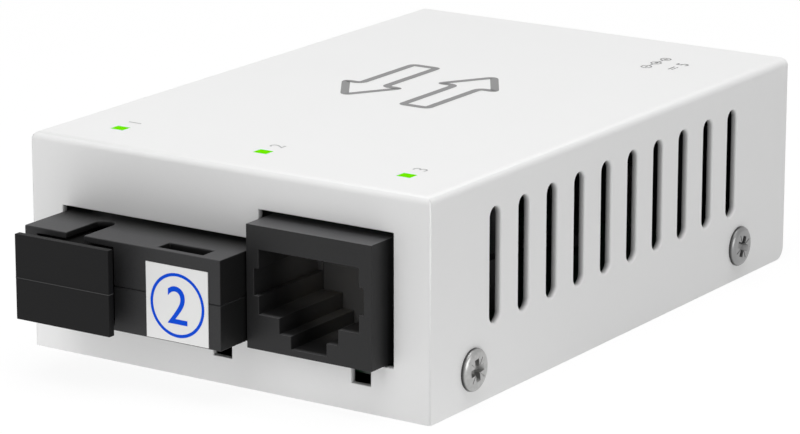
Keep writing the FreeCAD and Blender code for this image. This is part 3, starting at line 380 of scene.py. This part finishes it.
MOUTH_REACH = (3.0 * MM, 10.0 * MM)      # from the jack's front, where the painted light deep in the socket starts and is full
SOCKET_LIT_GREY = (0.16, 0.16, 0.16)
SOCKET_BLACK = (0.016, 0.016, 0.0165)
SOCKET_REACH = (0.15 * MM, 0.9 * MM)     # depth under the outer faces where the socket's painted shade starts and is full
jack_low, jack_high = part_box("jack_housing")

# Facing: painted light and shade on moulded plastic. Faces turned up are painted lighter, as lit from above,
# and faces turned sideways are painted darker, as painted shade.
TURN_RANGE = (0.5, 0.95)                 # share of a direction at which a face starts to count, and counts in full
facing, facing_in, facing_out = new_group(
    "painted_facing_light", [("Colour", "NodeSocketColor", (0.8, 0.8, 0.8, 1)), ("Upward", "NodeSocketFloat", 1.0),
                     ("Sideways", "NodeSocketFloat", 1.0)], [("Colour", "NodeSocketColor")])
turned = facing.nodes.new("ShaderNodeSeparateXYZ")
facing.links.new(facing.nodes.new("ShaderNodeTexCoord").outputs["Normal"], turned.inputs["Vector"])
factor = 1.0
for label, part in (("Upward", turned.outputs["Z"]),
                    ("Sideways", math_node(facing, "ABSOLUTE", turned.outputs["X"]))):
    factor = math_node(facing, "MULTIPLY_ADD", ramp_node(facing, part, *TURN_RANGE),
                       math_node(facing, "SUBTRACT", facing_in[label], 1.0), factor)
toned = facing.nodes.new("ShaderNodeVectorMath")
toned.operation = "SCALE"
facing.links.new(facing_in["Colour"], toned.inputs[0])
facing.links.new(factor, toned.inputs["Scale"])
facing.links.new(toned.outputs["Vector"], facing_out["Colour"])


def by_facing(upward, sideways):
    """Colour change for recolour: painted light as a share of the colour on faces turned up, and painted shade as
    a share on faces turned sideways.
    """
    def change(tree, colour):
        return place_group(tree, facing, colour, Upward=upward, Sideways=sideways).outputs["Colour"]
    return change


def paler_depth(tree, colour):
    """Painted light: lighter colour deep in the socket."""
    deep = ramp_node(tree, place_nodes(tree)[2], jack_low.y + MOUTH_REACH[0], jack_low.y + MOUTH_REACH[1])
    return mix_node(tree, deep, colour, SOCKET_LIT_GREY)


# Jack moulding with painted light on faces turned up, painted shade on faces turned sideways and on the socket
# walls, and painted light deep in the socket.
jack_black = recolour(grained("jack_moulding", (0.0185, 0.0185, 0.019), 0.42, 5200.0, 0.008 * MM, tone=0.6,
                              Specular_IOR_Level=0.24),
                      by_facing(5.0, 0.8),
                      with_inside(jack_low, jack_high, (), SOCKET_BLACK, *SOCKET_REACH, FAR),
                      paler_depth)
jack_mesh = joined_copy("jack_housing")
round_off(jack_mesh, sharp_edges(jack_mesh), MOULD_EDGE / 2)
fit(as_piece(jack_mesh, "jack_shell"), jack_black, "jack_black", "jack_housing")
dress(jack_black, "jack_black", "jack_insert")
gold = grained("gold_flash", (0.75, 0.52, 0.2), 0.3, 4000.0, 0.002 * MM, Metallic=1.0)
dress(gold, "gold_wire", *[f"jack_contact_{number}" for number in range(1, 9)])


# ---- Optical module -----------------------------------------------------------------------------------
# Two moulded halves in black glass-filled plastic that part at the height of the port, with a fine
# eroded texture. The port has a key slot in its roof, and a window sits beside it. Behind the port's
# bulkhead are the sleeve for the ferrule, the optical block and a small board on nine tinned pins.

ROOT_REACH = (2.6 * MM, 6.6 * MM)        # from the module's front, where the painted shade starts and is full
ROOT_SHADE_BLACK = (0.004, 0.004, 0.004)
# Painted shade inside the port.
PORT_SHADE_BLACK = (0.003, 0.003, 0.003)
PORT_REACH = (0.13 * MM, 0.3 * MM)       # depth under the outer faces where the port's painted shade starts and is full
module_low, module_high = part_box("module_lower_shell")[0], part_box("module_upper_shell")[1]


def shaded_root(tree, colour):
    """Painted shade: the module turns black towards the case, seen on its upper face."""
    root = ramp_node(tree, place_nodes(tree)[2], module_low.y + ROOT_REACH[0], module_low.y + ROOT_REACH[1])
    return mix_node(tree, root, colour, ROOT_SHADE_BLACK)


# Module moulding with painted light on faces turned up, and painted shade on faces turned sideways, towards the
# case and inside the port.
module_black = recolour(grained("module_moulding", (0.027, 0.027, 0.028), 0.5, 5200.0, 0.01 * MM, tone=0.7,
                                Specular_IOR_Level=0.26),
                        by_facing(1.95, 0.12), shaded_root,
                        with_inside(module_low, module_high, ("Rear",), PORT_SHADE_BLACK, *PORT_REACH, FAR))
for node, name, radius in (("module_upper_shell", "module_upper_half", MOULD_EDGE),
                           ("module_lower_shell", "module_lower_half", MOULD_EDGE),
                           ("port_latch", "port_latch_arms", MOULD_EDGE / 2)):
    shell = joined_copy(node)
    round_off(shell, sharp_edges(shell), radius)
    fit(as_piece(shell, name), module_black, "module_black", node)

dress(nickel, "steel_can", "fibre_receptacle", "optical_block")
dress(tin, "tinned_pin", *[f"module_pin_{number}" for number in range(1, 10)])


# ---- Label on the module ------------------------------------------------------------------------------
# Small paper label stuck on the module's front, printed in blue with a ring and a plain numeral.

PRINT_LIFT = 0.012 * MM
RING_WIDE, RING_LINE = 6.9 * MM, 0.34 * MM
RING_LEFT, RING_LOW = 4.0 * MM, 3.95 * MM        # its middle, from the label's lower left corner
NUMERAL_TALL = 4.1 * MM
NUMERAL_SHARE = 0.7                              # a numeral's height as a share of its letter size

paper_white = grained("label_paper", (0.81, 0.81, 0.805), 0.55, 7000.0, 0.003 * MM, tone=0.05)
label_blue = grained("label_ink", (0.0, 0.072, 0.68), 0.7, 7000.0, 0.001 * MM, tone=0.08, Specular_IOR_Level=0.1)
dress(paper_white, "label_paper", "module_label")
label_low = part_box("module_label")[0]


def printed(mesh, name, turn, place, ink, slot):
    """Lay flat artwork, drawn about the origin in XY, on a face, and fit it there."""
    mesh.transform(Matrix.Translation(place) @ turn)
    data = bpy.data.meshes.new(name)
    mesh.to_mesh(data)
    mesh.free()
    fit(new_item(name, data), ink, slot)


def numeral(body, tall, bolder=0.0):
    """Plain upright numeral of a given height about the origin, with its strokes made bolder by a width."""
    letters = bpy.data.curves.new("numeral", "FONT")
    letters.body = body
    letters.align_x, letters.align_y = "CENTER", "CENTER"
    letters.size = tall / NUMERAL_SHARE
    letters.offset = bolder
    holder = new_item("numeral", letters)
    flat = bpy.data.meshes.new_from_object(holder.evaluated_get(bpy.context.evaluated_depsgraph_get()))
    mesh = bmesh.new()
    mesh.from_mesh(flat)
    bpy.data.objects.remove(holder)
    bpy.data.curves.remove(letters)
    bpy.data.meshes.remove(flat)
    low, high = (Vector([pick(v.co[axis] for v in mesh.verts) for axis in range(3)]) for pick in (min, max))
    bmesh.ops.translate(mesh, verts=mesh.verts, vec=-(low + high) / 2)
    return mesh


def ring(wide, line, steps=64):
    """Flat ring about the origin."""
    mesh = bmesh.new()
    disc = bmesh.ops.create_circle(mesh, cap_ends=True, segments=steps, radius=wide / 2)
    face = disc["verts"][0].link_faces[0]
    bmesh.ops.inset_region(mesh, faces=[face], thickness=line, use_even_offset=True, use_boundary=True)
    bmesh.ops.delete(mesh, geom=[face], context="FACES")
    return mesh


facing_front = Matrix.Rotation(math.pi / 2, 4, "X")
on_label = Vector((label_low.x + RING_LEFT, label_low.y - PRINT_LIFT, label_low.z + RING_LOW))
printed(ring(RING_WIDE, RING_LINE), "label_ring", facing_front, on_label, label_blue, "label_paper")
printed(numeral("2", NUMERAL_TALL), "label_numeral", facing_front, on_label, label_blue, "label_paper")


# ---- Dust cap -----------------------------------------------------------------------------------------
# Plug of softer black plastic pushed into the port: a plate with bevelled back edges on a hollow stem.
# A fine mould line crosses the plate at mid height.

MOULD_LINE = 0.07 * MM                   # how far the line stands out, and half its width
LINE_HEIGHT = 0.49                       # share of the plate's height
# Painted highlight along the mould line.
LINE_HIGHLIGHT_GREY = (0.05, 0.05, 0.051)
PLATE_DEEP = 1.3 * MM
# Painted shade on the stem behind the plate.
STEM_SHADE_BLACK = (0.002, 0.002, 0.002)

cap_low, cap_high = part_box("dust_cap")
line_height = cap_low.z + LINE_HEIGHT * (cap_high.z - cap_low.z)


def line_and_stem(tree, colour):
    """Painted highlight in grey on the mould line, and painted shade in black, made rough, on the stem behind the
    plate.
    """
    along, up = place_nodes(tree)[2:]
    behind = ramp_node(tree, along, cap_low.y + PLATE_DEEP, cap_low.y + 1.3 * PLATE_DEEP)
    tree.links.new(math_node(tree, "MAXIMUM", tree.nodes["grain"].outputs["Roughness"], behind),
                   tree.nodes["Principled BSDF"].inputs["Roughness"])
    from_line = math_node(tree, "ABSOLUTE", math_node(tree, "SUBTRACT", up, line_height))
    line_highlight = mix_node(tree, ramp_node(tree, from_line, 0.3 * MOULD_LINE, MOULD_LINE), LINE_HIGHLIGHT_GREY, colour)
    return mix_node(tree, behind, line_highlight, STEM_SHADE_BLACK)


# Cap moulding with painted shade on faces turned sideways, a painted highlight on the mould line and painted shade
# on the stem.
cap_black = recolour(grained("cap_moulding", (0.0068, 0.0068, 0.0072), 0.54, 5200.0, 0.01 * MM, tone=0.7,
                             Specular_IOR_Level=0.15), by_facing(1.0, 0.3), line_and_stem)
cap_mesh = joined_copy("dust_cap")
round_off(cap_mesh, sharp_edges(cap_mesh), MOULD_EDGE / 2)
for step in (-1, 0, 1):
    bmesh.ops.bisect_plane(cap_mesh, geom=cap_mesh.verts[:] + cap_mesh.edges[:] + cap_mesh.faces[:],
                           dist=0.1 * MERGE, plane_co=(0, 0, line_height + step * MOULD_LINE), plane_no=(0, 0, 1))
crest = [v for v in cap_mesh.verts if abs(v.co.z - line_height) < 0.1 * MOULD_LINE]
bmesh.ops.translate(cap_mesh, vec=(0, -MOULD_LINE, 0), verts=[v for v in crest if v.co.y < cap_low.y + MERGE])
for sign, edge in ((-1, cap_low.x), (1, cap_high.x)):
    bmesh.ops.translate(cap_mesh, vec=(sign * MOULD_LINE, 0, 0),
                        verts=[v for v in crest if abs(v.co.x - edge) < MERGE])
fit(as_piece(cap_mesh, "cap_plug"), cap_black, "cap_black", "dust_cap", body="dust_cap")


# ---- Cover --------------------------------------------------------------------------------------------
# The upper half of the case, one sheet folded down at the front and both sides, punched with ten vents a
# side, and coated like the tray. The punch leaves the vents' outer edges well rounded.

VENT_ROUND = 0.28 * MM
VENT_BAND = (6.5 * MM, 22.0 * MM)        # heights between which the vents lie
VENT_REACH = 0.8                         # share of the half depth within which they lie
SEAM_END = 22.6 * MM                     # height above which a corner seam ends
CORNER = 2.0 * MM                        # distance from both faces within which a point is at a front corner

cover_low, cover_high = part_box("top_cover")
cover_coat = coated("cover_powder_coat", cover_low, cover_high, "Rear", "Low")
cover_mesh = joined_copy("top_cover")
mouths = [edge for edge in sharp_edges(cover_mesh)
          if all(abs(abs(v.co.x) - cover_high.x) < 0.01 * MM and abs(v.co.y) < VENT_REACH * cover_high.y
                 and VENT_BAND[0] < v.co.z < VENT_BAND[1] for v in edge.verts)]
round_off(cover_mesh, mouths, VENT_ROUND, 4)


def seam_head(edge):
    """Whether an edge lies at the upper end of a corner seam, where there is no room to round it."""
    return (any(v.co.z > SEAM_END for v in edge.verts)
            and all(v.co.y < cover_low.y + CORNER and abs(v.co.x) > cover_high.x - CORNER for v in edge.verts))


round_off(cover_mesh, sharp_edges(cover_mesh, seam_head), COAT_EDGE)
fit(as_piece(cover_mesh, "cover_sheet"), cover_coat, "powder_white", "top_cover")

# The coat bridges the two corner seams a little way below the surface, and leans inwards under the bend.
BRIDGE_DEPTH, BRIDGE_WIDE, BRIDGE_ROUND = 0.07 * MM, 0.4 * MM, 0.12 * MM
BRIDGE_FOOT, BRIDGE_TOP = 0.05 * MM, 23.42 * MM
BRIDGE_LEAN, BRIDGE_RISE = 0.2 * MM, 0.19 * MM
for name, side in (("seam_coat_left", -1), ("seam_coat_right", 1)):
    bridge = bmesh.new()
    bmesh.ops.create_cube(bridge, size=1.0)
    bmesh.ops.scale(bridge, vec=(BRIDGE_WIDE, BRIDGE_WIDE, BRIDGE_TOP - BRIDGE_FOOT), verts=bridge.verts)
    round_off(bridge, [edge for edge in bridge.edges if abs(edge.verts[0].co.z - edge.verts[1].co.z) > MM],
              BRIDGE_ROUND)
    head = bmesh.ops.extrude_face_region(bridge, geom=[max(bridge.faces, key=lambda f: f.calc_center_median().z)])
    bmesh.ops.translate(bridge, verts=[part for part in head["geom"] if isinstance(part, bmesh.types.BMVert)],
                        vec=(-side * BRIDGE_LEAN, BRIDGE_LEAN, BRIDGE_RISE))
    inset = BRIDGE_DEPTH + BRIDGE_WIDE / 2
    bmesh.ops.translate(bridge, verts=bridge.verts,
                        vec=(side * (cover_high.x - inset), cover_low.y + inset, (BRIDGE_TOP + BRIDGE_FOOT) / 2))
    fit(as_piece(bridge, name), cover_coat, "powder_white")


# ---- Cover screws -------------------------------------------------------------------------------------
# Four zinc-plated steel screws hold the cover to the tray's flanges: low pan heads with a rounded rim and
# a cross recess with fine ticks between its arms, on a threaded shank. Each stopped at its own angle.

HEAD_TALL, RIM_TALL, HEAD_RADIUS, FLAT_RADIUS = 0.6 * MM, 0.16 * MM, 2.3 * MM, 1.6 * MM
SHANK_RADIUS, THREAD_ROOT, THREAD_PITCH, THREAD_TURNS = 1.2 * MM, 0.98 * MM, 0.45 * MM, 5
POINT_LONG = 0.1 * MM
CROSS = (3.05 * MM, 0.96 * MM, 0.65 * MM, 0.62)  # a slot's length, width, depth, and taper to its bottom
TICKS = (3.1 * MM, 0.12 * MM, 0.07 * MM, 1.0)
RIM_SHADE = (2.19 * MM, 2.31 * MM)               # distances from the axis where the rim's painted shade starts and is full
# Painted shade on the rim, and a darker grey for the rear pair.
RIM_SHADE_GREY, REAR_DARK_GREY = (0.07, 0.07, 0.07), (0.27, 0.27, 0.27)


def turned_screw():
    """Screw about the Z axis with its seat at z = 0 and its head above."""
    mesh = bmesh.new()
    outline = [(0.0, HEAD_TALL), (FLAT_RADIUS, HEAD_TALL)]
    for step in range(1, 7):
        turn = math.radians(15 * step)
        outline.append((FLAT_RADIUS + (HEAD_RADIUS - FLAT_RADIUS) * math.sin(turn),
                        RIM_TALL + (HEAD_TALL - RIM_TALL) * math.cos(turn)))
    outline += [(HEAD_RADIUS, 0.0), (SHANK_RADIUS, 0.0)]
    for thread in range(THREAD_TURNS):
        low = -(thread + 0.5) * THREAD_PITCH
        outline += [(THREAD_ROOT, low), (SHANK_RADIUS, low - 0.5 * THREAD_PITCH)]
    outline.append((0.0, -THREAD_TURNS * THREAD_PITCH - POINT_LONG))
    points = [mesh.verts.new((radius, 0.0, height)) for radius, height in outline]
    lines = [mesh.edges.new(pair) for pair in zip(points, points[1:])]
    bmesh.ops.spin(mesh, geom=points + lines, axis=(0, 0, 1), cent=(0, 0, 0), dvec=(0, 0, 0),
                   angle=2 * math.pi, steps=48, use_merge=True, use_duplicate=False)
    bmesh.ops.remove_doubles(mesh, verts=mesh.verts, dist=MERGE)
    bmesh.ops.recalc_face_normals(mesh, faces=mesh.faces)
    return mesh


def slot_cutter(turn, long, wide, deep, taper):
    """Bar that sinks a slot through the axis into the head, narrower at its bottom."""
    mesh = bmesh.new()
    bmesh.ops.create_cube(mesh, size=1.0)
    bmesh.ops.scale(mesh, vec=(taper, taper, 1.0), verts=[v for v in mesh.verts if v.co.z < 0])
    bmesh.ops.scale(mesh, vec=(long, wide, 2 * deep), verts=mesh.verts)
    bmesh.ops.rotate(mesh, matrix=Matrix.Rotation(turn, 3, "Z"), cent=(0, 0, 0), verts=mesh.verts)
    bmesh.ops.translate(mesh, vec=(0, 0, HEAD_TALL), verts=mesh.verts)
    return mesh


blank = as_piece(turned_screw(), "screw_blank", flats=False)
cutters = []
for number, slot_size in enumerate((CROSS, TICKS, CROSS, TICKS)):
    cutter = slot_cutter(math.radians(45 * number), *slot_size)
    cutters.append(as_piece(cutter, f"screw_cutter_{number}", flats=False))
    cut = blank.modifiers.new(f"slot_{number}", "BOOLEAN")
    cut.operation, cut.solver, cut.object = "DIFFERENCE", "EXACT", cutters[-1]
bpy.context.view_layer.update()
screw_data = bpy.data.meshes.new_from_object(blank.evaluated_get(bpy.context.evaluated_depsgraph_get()))
for item in cutters + [blank]:
    bpy.data.objects.remove(item)

screws_low, screws_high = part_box("cover_screws")
front_row, rear_row = screws_low.y + HEAD_RADIUS, screws_high.y - HEAD_RADIUS
screw_height = (screws_low.z + screws_high.z) / 2


def shade_rim(tree, colour):
    """Painted shade that darkens the plating round the rim; the plating is also darker on the rear pair."""
    along, up = place_nodes(tree)[2:]
    rear_darkened = mix_node(tree, ramp_node(tree, along, front_row, rear_row), colour, REAR_DARK_GREY)
    aside = math_node(tree, "MINIMUM", *[math_node(tree, "ABSOLUTE", math_node(tree, "SUBTRACT", along, row))
                                         for row in (front_row, rear_row)])
    above = math_node(tree, "SUBTRACT", up, screw_height)
    radius = math_node(tree, "SQRT", math_node(tree, "MULTIPLY_ADD", aside, aside,
                                               math_node(tree, "MULTIPLY", above, above)))
    return mix_node(tree, ramp_node(tree, radius, *RIM_SHADE), rear_darkened, RIM_SHADE_GREY)


head_zinc = recolour(grained("screw_head_zinc", (0.42, 0.42, 0.415), 0.32, 2600.0, 0.009 * MM, tone=0.9,
                             Metallic=1.0), shade_rim)
for name, side, row, turn in (("right_front", 1, front_row, 8), ("right_rear", 1, rear_row, -22),
                              ("left_front", -1, front_row, 33), ("left_rear", -1, rear_row, 61)):
    data = screw_data.copy()
    seat = Vector((side * (screws_high.x - HEAD_TALL), row, screw_height))
    data.transform(Matrix.Translation(seat) @ Matrix.Rotation(side * math.pi / 2, 4, "Y")
                   @ Matrix.Rotation(math.radians(turn), 4, "Z"))
    data.set_sharp_from_angle(angle=math.radians(28))
    fit(new_item(f"cover_screw_{name}", data), head_zinc, "zinc_screw", "cover_screws")


# ---- Lamps and light pipes ----------------------------------------------------------------------------
# Three lamps on the board each light a clear green pipe whose end shows in a window in the top. Only the
# end glows; the rest of the pipe is dark.

GLOW_GREEN = (0.16, 0.78, 0.0)
UNLIT = (0.0, 0.0, 0.0)
GLOW_DEPTH = 0.5 * MM
FLICKER, FLICKER_SCALE = 0.1, 900.0      # how uneven the glow is, and how finely

lamp_body = grained("lamp_moulding", (0.5, 0.5, 0.47), 0.4, 4000.0, 0.002 * MM)
dress(lamp_body, "lamp_body", "lamp_left", "lamp_middle", "lamp_right")

pipe_green = grained("pipe_plastic", (0.004, 0.02, 0.0), 0.35, 4000.0, 0.001 * MM, Specular_IOR_Level=0.0)
tree = pipe_green.node_tree
lit = ramp_node(tree, place_nodes(tree)[3], cover_high.z - GLOW_DEPTH, cover_high.z - 0.5 * GLOW_DEPTH)
flicker = math_node(tree, "MULTIPLY_ADD", noise_node(tree, FLICKER_SCALE), FLICKER, 1.0 - FLICKER / 2)
tree.links.new(mix_node(tree, math_node(tree, "MULTIPLY", lit, flicker), UNLIT, GLOW_GREEN),
               tree.nodes["Principled BSDF"].inputs["Emission Color"])
tree.nodes["Principled BSDF"].inputs["Emission Strength"].default_value = 1.0
dress(pipe_green, "lamp_green", "light_pipe_left", "light_pipe_middle", "light_pipe_right")


# ---- Prints on the cover ------------------------------------------------------------------------------
# Grey screen print on the top: a plain numeral behind each lamp, two opposed outlined arrows for the two
# directions of the traffic, and at the rear right the polarity sign of the inlet, the direct-current sign
# and a plain 5.

LAMP_NUMERAL, LAMP_NUMERAL_ROW = 1.7 * MM, -29.0 * MM
ink = grained("screen_ink", (0.225, 0.225, 0.225), 0.5, 4000.0, 0.002 * MM, tone=0.1)
fine_ink = grained("fine_screen_ink", (0.42, 0.42, 0.42), 0.5, 4000.0, 0.002 * MM, tone=0.2)
from_right = Matrix.Rotation(math.pi / 2, 4, "Z")
print_height = cover_high.z + PRINT_LIFT

for number, pipe in enumerate(("light_pipe_left", "light_pipe_middle", "light_pipe_right"), 1):
    low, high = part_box(pipe)
    printed(numeral(str(number), LAMP_NUMERAL), f"lamp_numeral_{number}", from_right,
            Vector(((low.x + high.x) / 2, LAMP_NUMERAL_ROW, print_height)), fine_ink, "powder_white")


def bar(long, wide):
    """Flat bar about the origin, its length along X."""
    mesh = bmesh.new()
    bmesh.ops.create_grid(mesh, x_segments=1, y_segments=1, size=0.5)
    bmesh.ops.scale(mesh, vec=(long, wide, 1.0), verts=mesh.verts)
    return mesh


# Arrows: a block arrow as one face, its corners rounded, then only a band along its outline is kept.
ARROW_LONG, ARROW_WIDE, SHAFT_WIDE, ARROW_HEAD = 17.8 * MM, 9.0 * MM, 4.2 * MM, 7.0 * MM
ARROW_LINE, ARROW_GAP = 0.95 * MM, 0.6 * MM
ARROWS_X, ARROWS_Y = -2.35 * MM, 2.6 * MM        # middle of the pair
POINT_ROUND, SQUARE_ROUND, NECK_ROUND = 1.5 * MM, 0.9 * MM, 0.3 * MM
for name, side in (("arrow_out", -1), ("arrow_back", 1)):
    mesh = bmesh.new()
    near, far, neck = -ARROW_LONG / 2, ARROW_LONG / 2, ARROW_LONG / 2 - ARROW_HEAD
    half, shaft = ARROW_WIDE / 2, SHAFT_WIDE / 2
    corners = [mesh.verts.new((x, y, 0.0)) for x, y in (
        (near, -shaft), (neck, -shaft), (neck, -half), (far, 0.0), (neck, half), (neck, shaft), (near, shaft))]
    mesh.faces.new(corners)
    for radius, chosen in ((POINT_ROUND, corners[2:5]), (SQUARE_ROUND, corners[::6]), (NECK_ROUND, corners[1::4])):
        bmesh.ops.bevel(mesh, geom=chosen, offset=radius, offset_type="OFFSET", segments=6, profile=0.5,
                        affect="VERTICES", clamp_overlap=False, material=-1)
    bmesh.ops.inset_region(mesh, faces=mesh.faces[:], thickness=ARROW_LINE, use_even_offset=True,
                           use_boundary=True)
    bmesh.ops.delete(mesh, geom=[max(mesh.faces, key=lambda f: f.calc_area())], context="FACES")
    bmesh.ops.scale(mesh, vec=(side, side, 1.0), verts=mesh.verts)
    middle = Vector((ARROWS_X + side * (ARROW_WIDE + ARROW_GAP) / 2, ARROWS_Y, print_height))
    printed(mesh, name, from_right, middle, ink, "powder_white")

# Polarity sign: minus in a ring, a line to the ring round the dot, and on to plus in a ring.
SIGN_RING, SIGN_LINE, SIGN_STEP = 1.35 * MM, 0.17 * MM, 2.25 * MM
STROKE_LONG, DOT_WIDE = 0.7 * MM, 0.4 * MM
TO_RING, TO_DOT, DOT_LINE_SHIFT = 0.9 * MM, 1.6 * MM, 0.35 * MM
SIGN_PLACE = Vector((14.0 * MM, 27.3 * MM, print_height))
sign_pieces = [(ring(SIGN_RING, SIGN_LINE, 24), step * SIGN_STEP, 0.0) for step in (-1, 0, 1)]
sign_pieces += [(bar(STROKE_LONG, SIGN_LINE), -SIGN_STEP, 0.0), (bar(STROKE_LONG, SIGN_LINE), SIGN_STEP, 0.0),
                (bar(SIGN_LINE, STROKE_LONG), SIGN_STEP, 0.0), (bar(TO_RING, SIGN_LINE), -SIGN_STEP / 2, 0.0),
                (bar(TO_DOT, SIGN_LINE), SIGN_STEP / 2 - DOT_LINE_SHIFT, 0.0), (bar(DOT_WIDE, DOT_WIDE), 0.0, 0.0)]
# Direct-current sign: one long bar over three short ones.
DC_LONG, DC_SHORT, DC_LINE, DC_STEP = 1.5 * MM, 0.36 * MM, 0.2 * MM, 0.57 * MM
DC_Y, DC_LONG_ROW, DC_SHORT_ROW = -1.3 * MM, -2.75 * MM, -3.2 * MM
sign_pieces += [(bar(DC_LONG, DC_LINE), DC_Y, DC_LONG_ROW)]
sign_pieces += [(bar(DC_SHORT, DC_LINE), DC_Y + DC_STEP * step, DC_SHORT_ROW) for step in (-1, 0, 1)]
for number, (mesh, along_y, across_x) in enumerate(sign_pieces):
    printed(mesh, f"polarity_sign_{number}", from_right,
            SIGN_PLACE + Vector((-across_x, along_y, 0.0)), ink, "powder_white")
SUPPLY_TALL, SUPPLY_BOLDER, SUPPLY_SHIFT = 1.5 * MM, 0.03 * MM, Vector((3.0 * MM, 0.9 * MM, 0.0))
printed(numeral("5", SUPPLY_TALL, SUPPLY_BOLDER), "supply_numeral", from_right, SIGN_PLACE + SUPPLY_SHIFT, ink,
        "powder_white")


# ---- Stage --------------------------------------------------------------------------------------------
# Pale floor, even studio light from above and all round, a broad low light in front, and the camera.

scene = bpy.context.scene
scene.view_settings.view_transform = "Standard"
FLOOR_SIZE = 6.0
FLOOR_SHADE = 0.35                       # the floor's own grey, which takes the shadow
FLOOR_WHITE = 1.3                        # how white it looks
SHADOW_SHARE = 0.3                       # how much of the shadow shows
FLOOR_LIGHT = 0.27                       # light that it sends back to the object
NEAR_LIGHT, NEAR_SPOT, NEAR_REACH = 1.02, (-0.03, -0.075, 0.0), (0.02, 0.1)      # more of it in front


def seen_directly(tree):
    """1 for what the camera sees straight, mirrored or through glass, and 0 for light that falls on things."""
    rays = tree.nodes.new("ShaderNodeLightPath")
    return math_node(tree, "MAXIMUM", rays.outputs["Is Camera Ray"],
                     math_node(tree, "MAXIMUM", rays.outputs["Is Glossy Ray"],
                               rays.outputs["Is Transmission Ray"]))


floor_mesh = bmesh.new()
bmesh.ops.create_grid(floor_mesh, x_segments=1, y_segments=1, size=FLOOR_SIZE / 2)
floor = as_piece(floor_mesh, "floor", flats=False)
floor_paper = bpy.data.materials.new("floor_paper")
floor_paper.use_nodes = True
tree = floor_paper.node_tree
tree.nodes.clear()
paper = tree.nodes.new("ShaderNodeBsdfDiffuse")
paper.inputs["Color"].default_value = (FLOOR_SHADE, FLOOR_SHADE, FLOOR_SHADE, 1)
seen = seen_directly(tree)
glow = tree.nodes.new("ShaderNodeEmission")
away = tree.nodes.new("ShaderNodeVectorMath")
away.operation = "DISTANCE"
away.inputs[1].default_value = NEAR_SPOT
tree.links.new(tree.nodes.new("ShaderNodeTexCoord").outputs["Object"], away.inputs[0])
bounced = math_node(tree, "MULTIPLY_ADD", ramp_node(tree, away.outputs["Value"], *NEAR_REACH),
                    FLOOR_LIGHT - NEAR_LIGHT, NEAR_LIGHT)
unseen = math_node(tree, "MULTIPLY", bounced, math_node(tree, "SUBTRACT", 1.0, seen))
tree.links.new(math_node(tree, "MULTIPLY_ADD", seen, FLOOR_WHITE * (1 - SHADOW_SHARE), unseen),
               glow.inputs["Strength"])
share = tree.nodes.new("ShaderNodeMixShader")
tree.links.new(math_node(tree, "MULTIPLY", seen, 1 - SHADOW_SHARE), share.inputs["Fac"])
tree.links.new(paper.outputs["BSDF"], share.inputs[1])
lit_floor = tree.nodes.new("ShaderNodeAddShader")
tree.links.new(share.outputs["Shader"], lit_floor.inputs[0])
tree.links.new(glow.outputs["Emission"], lit_floor.inputs[1])
tree.links.new(lit_floor.outputs["Shader"], tree.nodes.new("ShaderNodeOutputMaterial").inputs["Surface"])
floor.data.materials.append(floor_paper)

ROOM_LIGHT = 0.2
world = bpy.data.worlds.new("studio")
scene.world = world
world.use_nodes = True
tree = world.node_tree
tree.nodes.clear()
sky = tree.nodes.new("ShaderNodeBackground")
tree.links.new(math_node(tree, "MULTIPLY_ADD", seen_directly(tree), 1 - ROOM_LIGHT, ROOM_LIGHT),
               sky.inputs["Strength"])
tree.links.new(sky.outputs["Background"], tree.nodes.new("ShaderNodeOutputWorld").inputs["Surface"])


def softbox(name, place, aim, width, power):
    """Square area lamp that faces a point."""
    data = bpy.data.lights.new(name, "AREA")
    data.size = width
    data.energy = power
    lamp = new_item(name, data)
    lamp.location = place
    lamp.rotation_euler = (Vector(aim) - Vector(place)).to_track_quat("-Z", "Y").to_euler()


softbox("overhead", (0.02, -0.02, 0.7), (0.0, 0.0, 0.02), 0.6, 3.9)
softbox("right_side", (0.33, -0.05, 0.07), (0.02, 0.0, 0.01), 0.2, 0.29)
softbox("high_front", (-0.05, -0.42, 0.28), (0.0, -0.04, 0.012), 0.35, 0.57)

AZIMUTH, ELEVATION, DISTANCE = math.radians(33.48), math.radians(15.13), 0.398
AIM = Vector((0.01263, -0.02413, 0.01701))
eye = bpy.data.cameras.new("view")
eye.lens = 170.6
eye.sensor_width = 36.0
camera = new_item("view", eye)
turned = Matrix.Rotation(AZIMUTH, 4, "Z") @ Matrix.Rotation(math.pi / 2 - ELEVATION, 4, "X")
camera.matrix_world = Matrix.Translation(AIM) @ turned @ Matrix.Translation((0, 0, DISTANCE))
scene.camera = camera

bpy.context.view_layer.update()
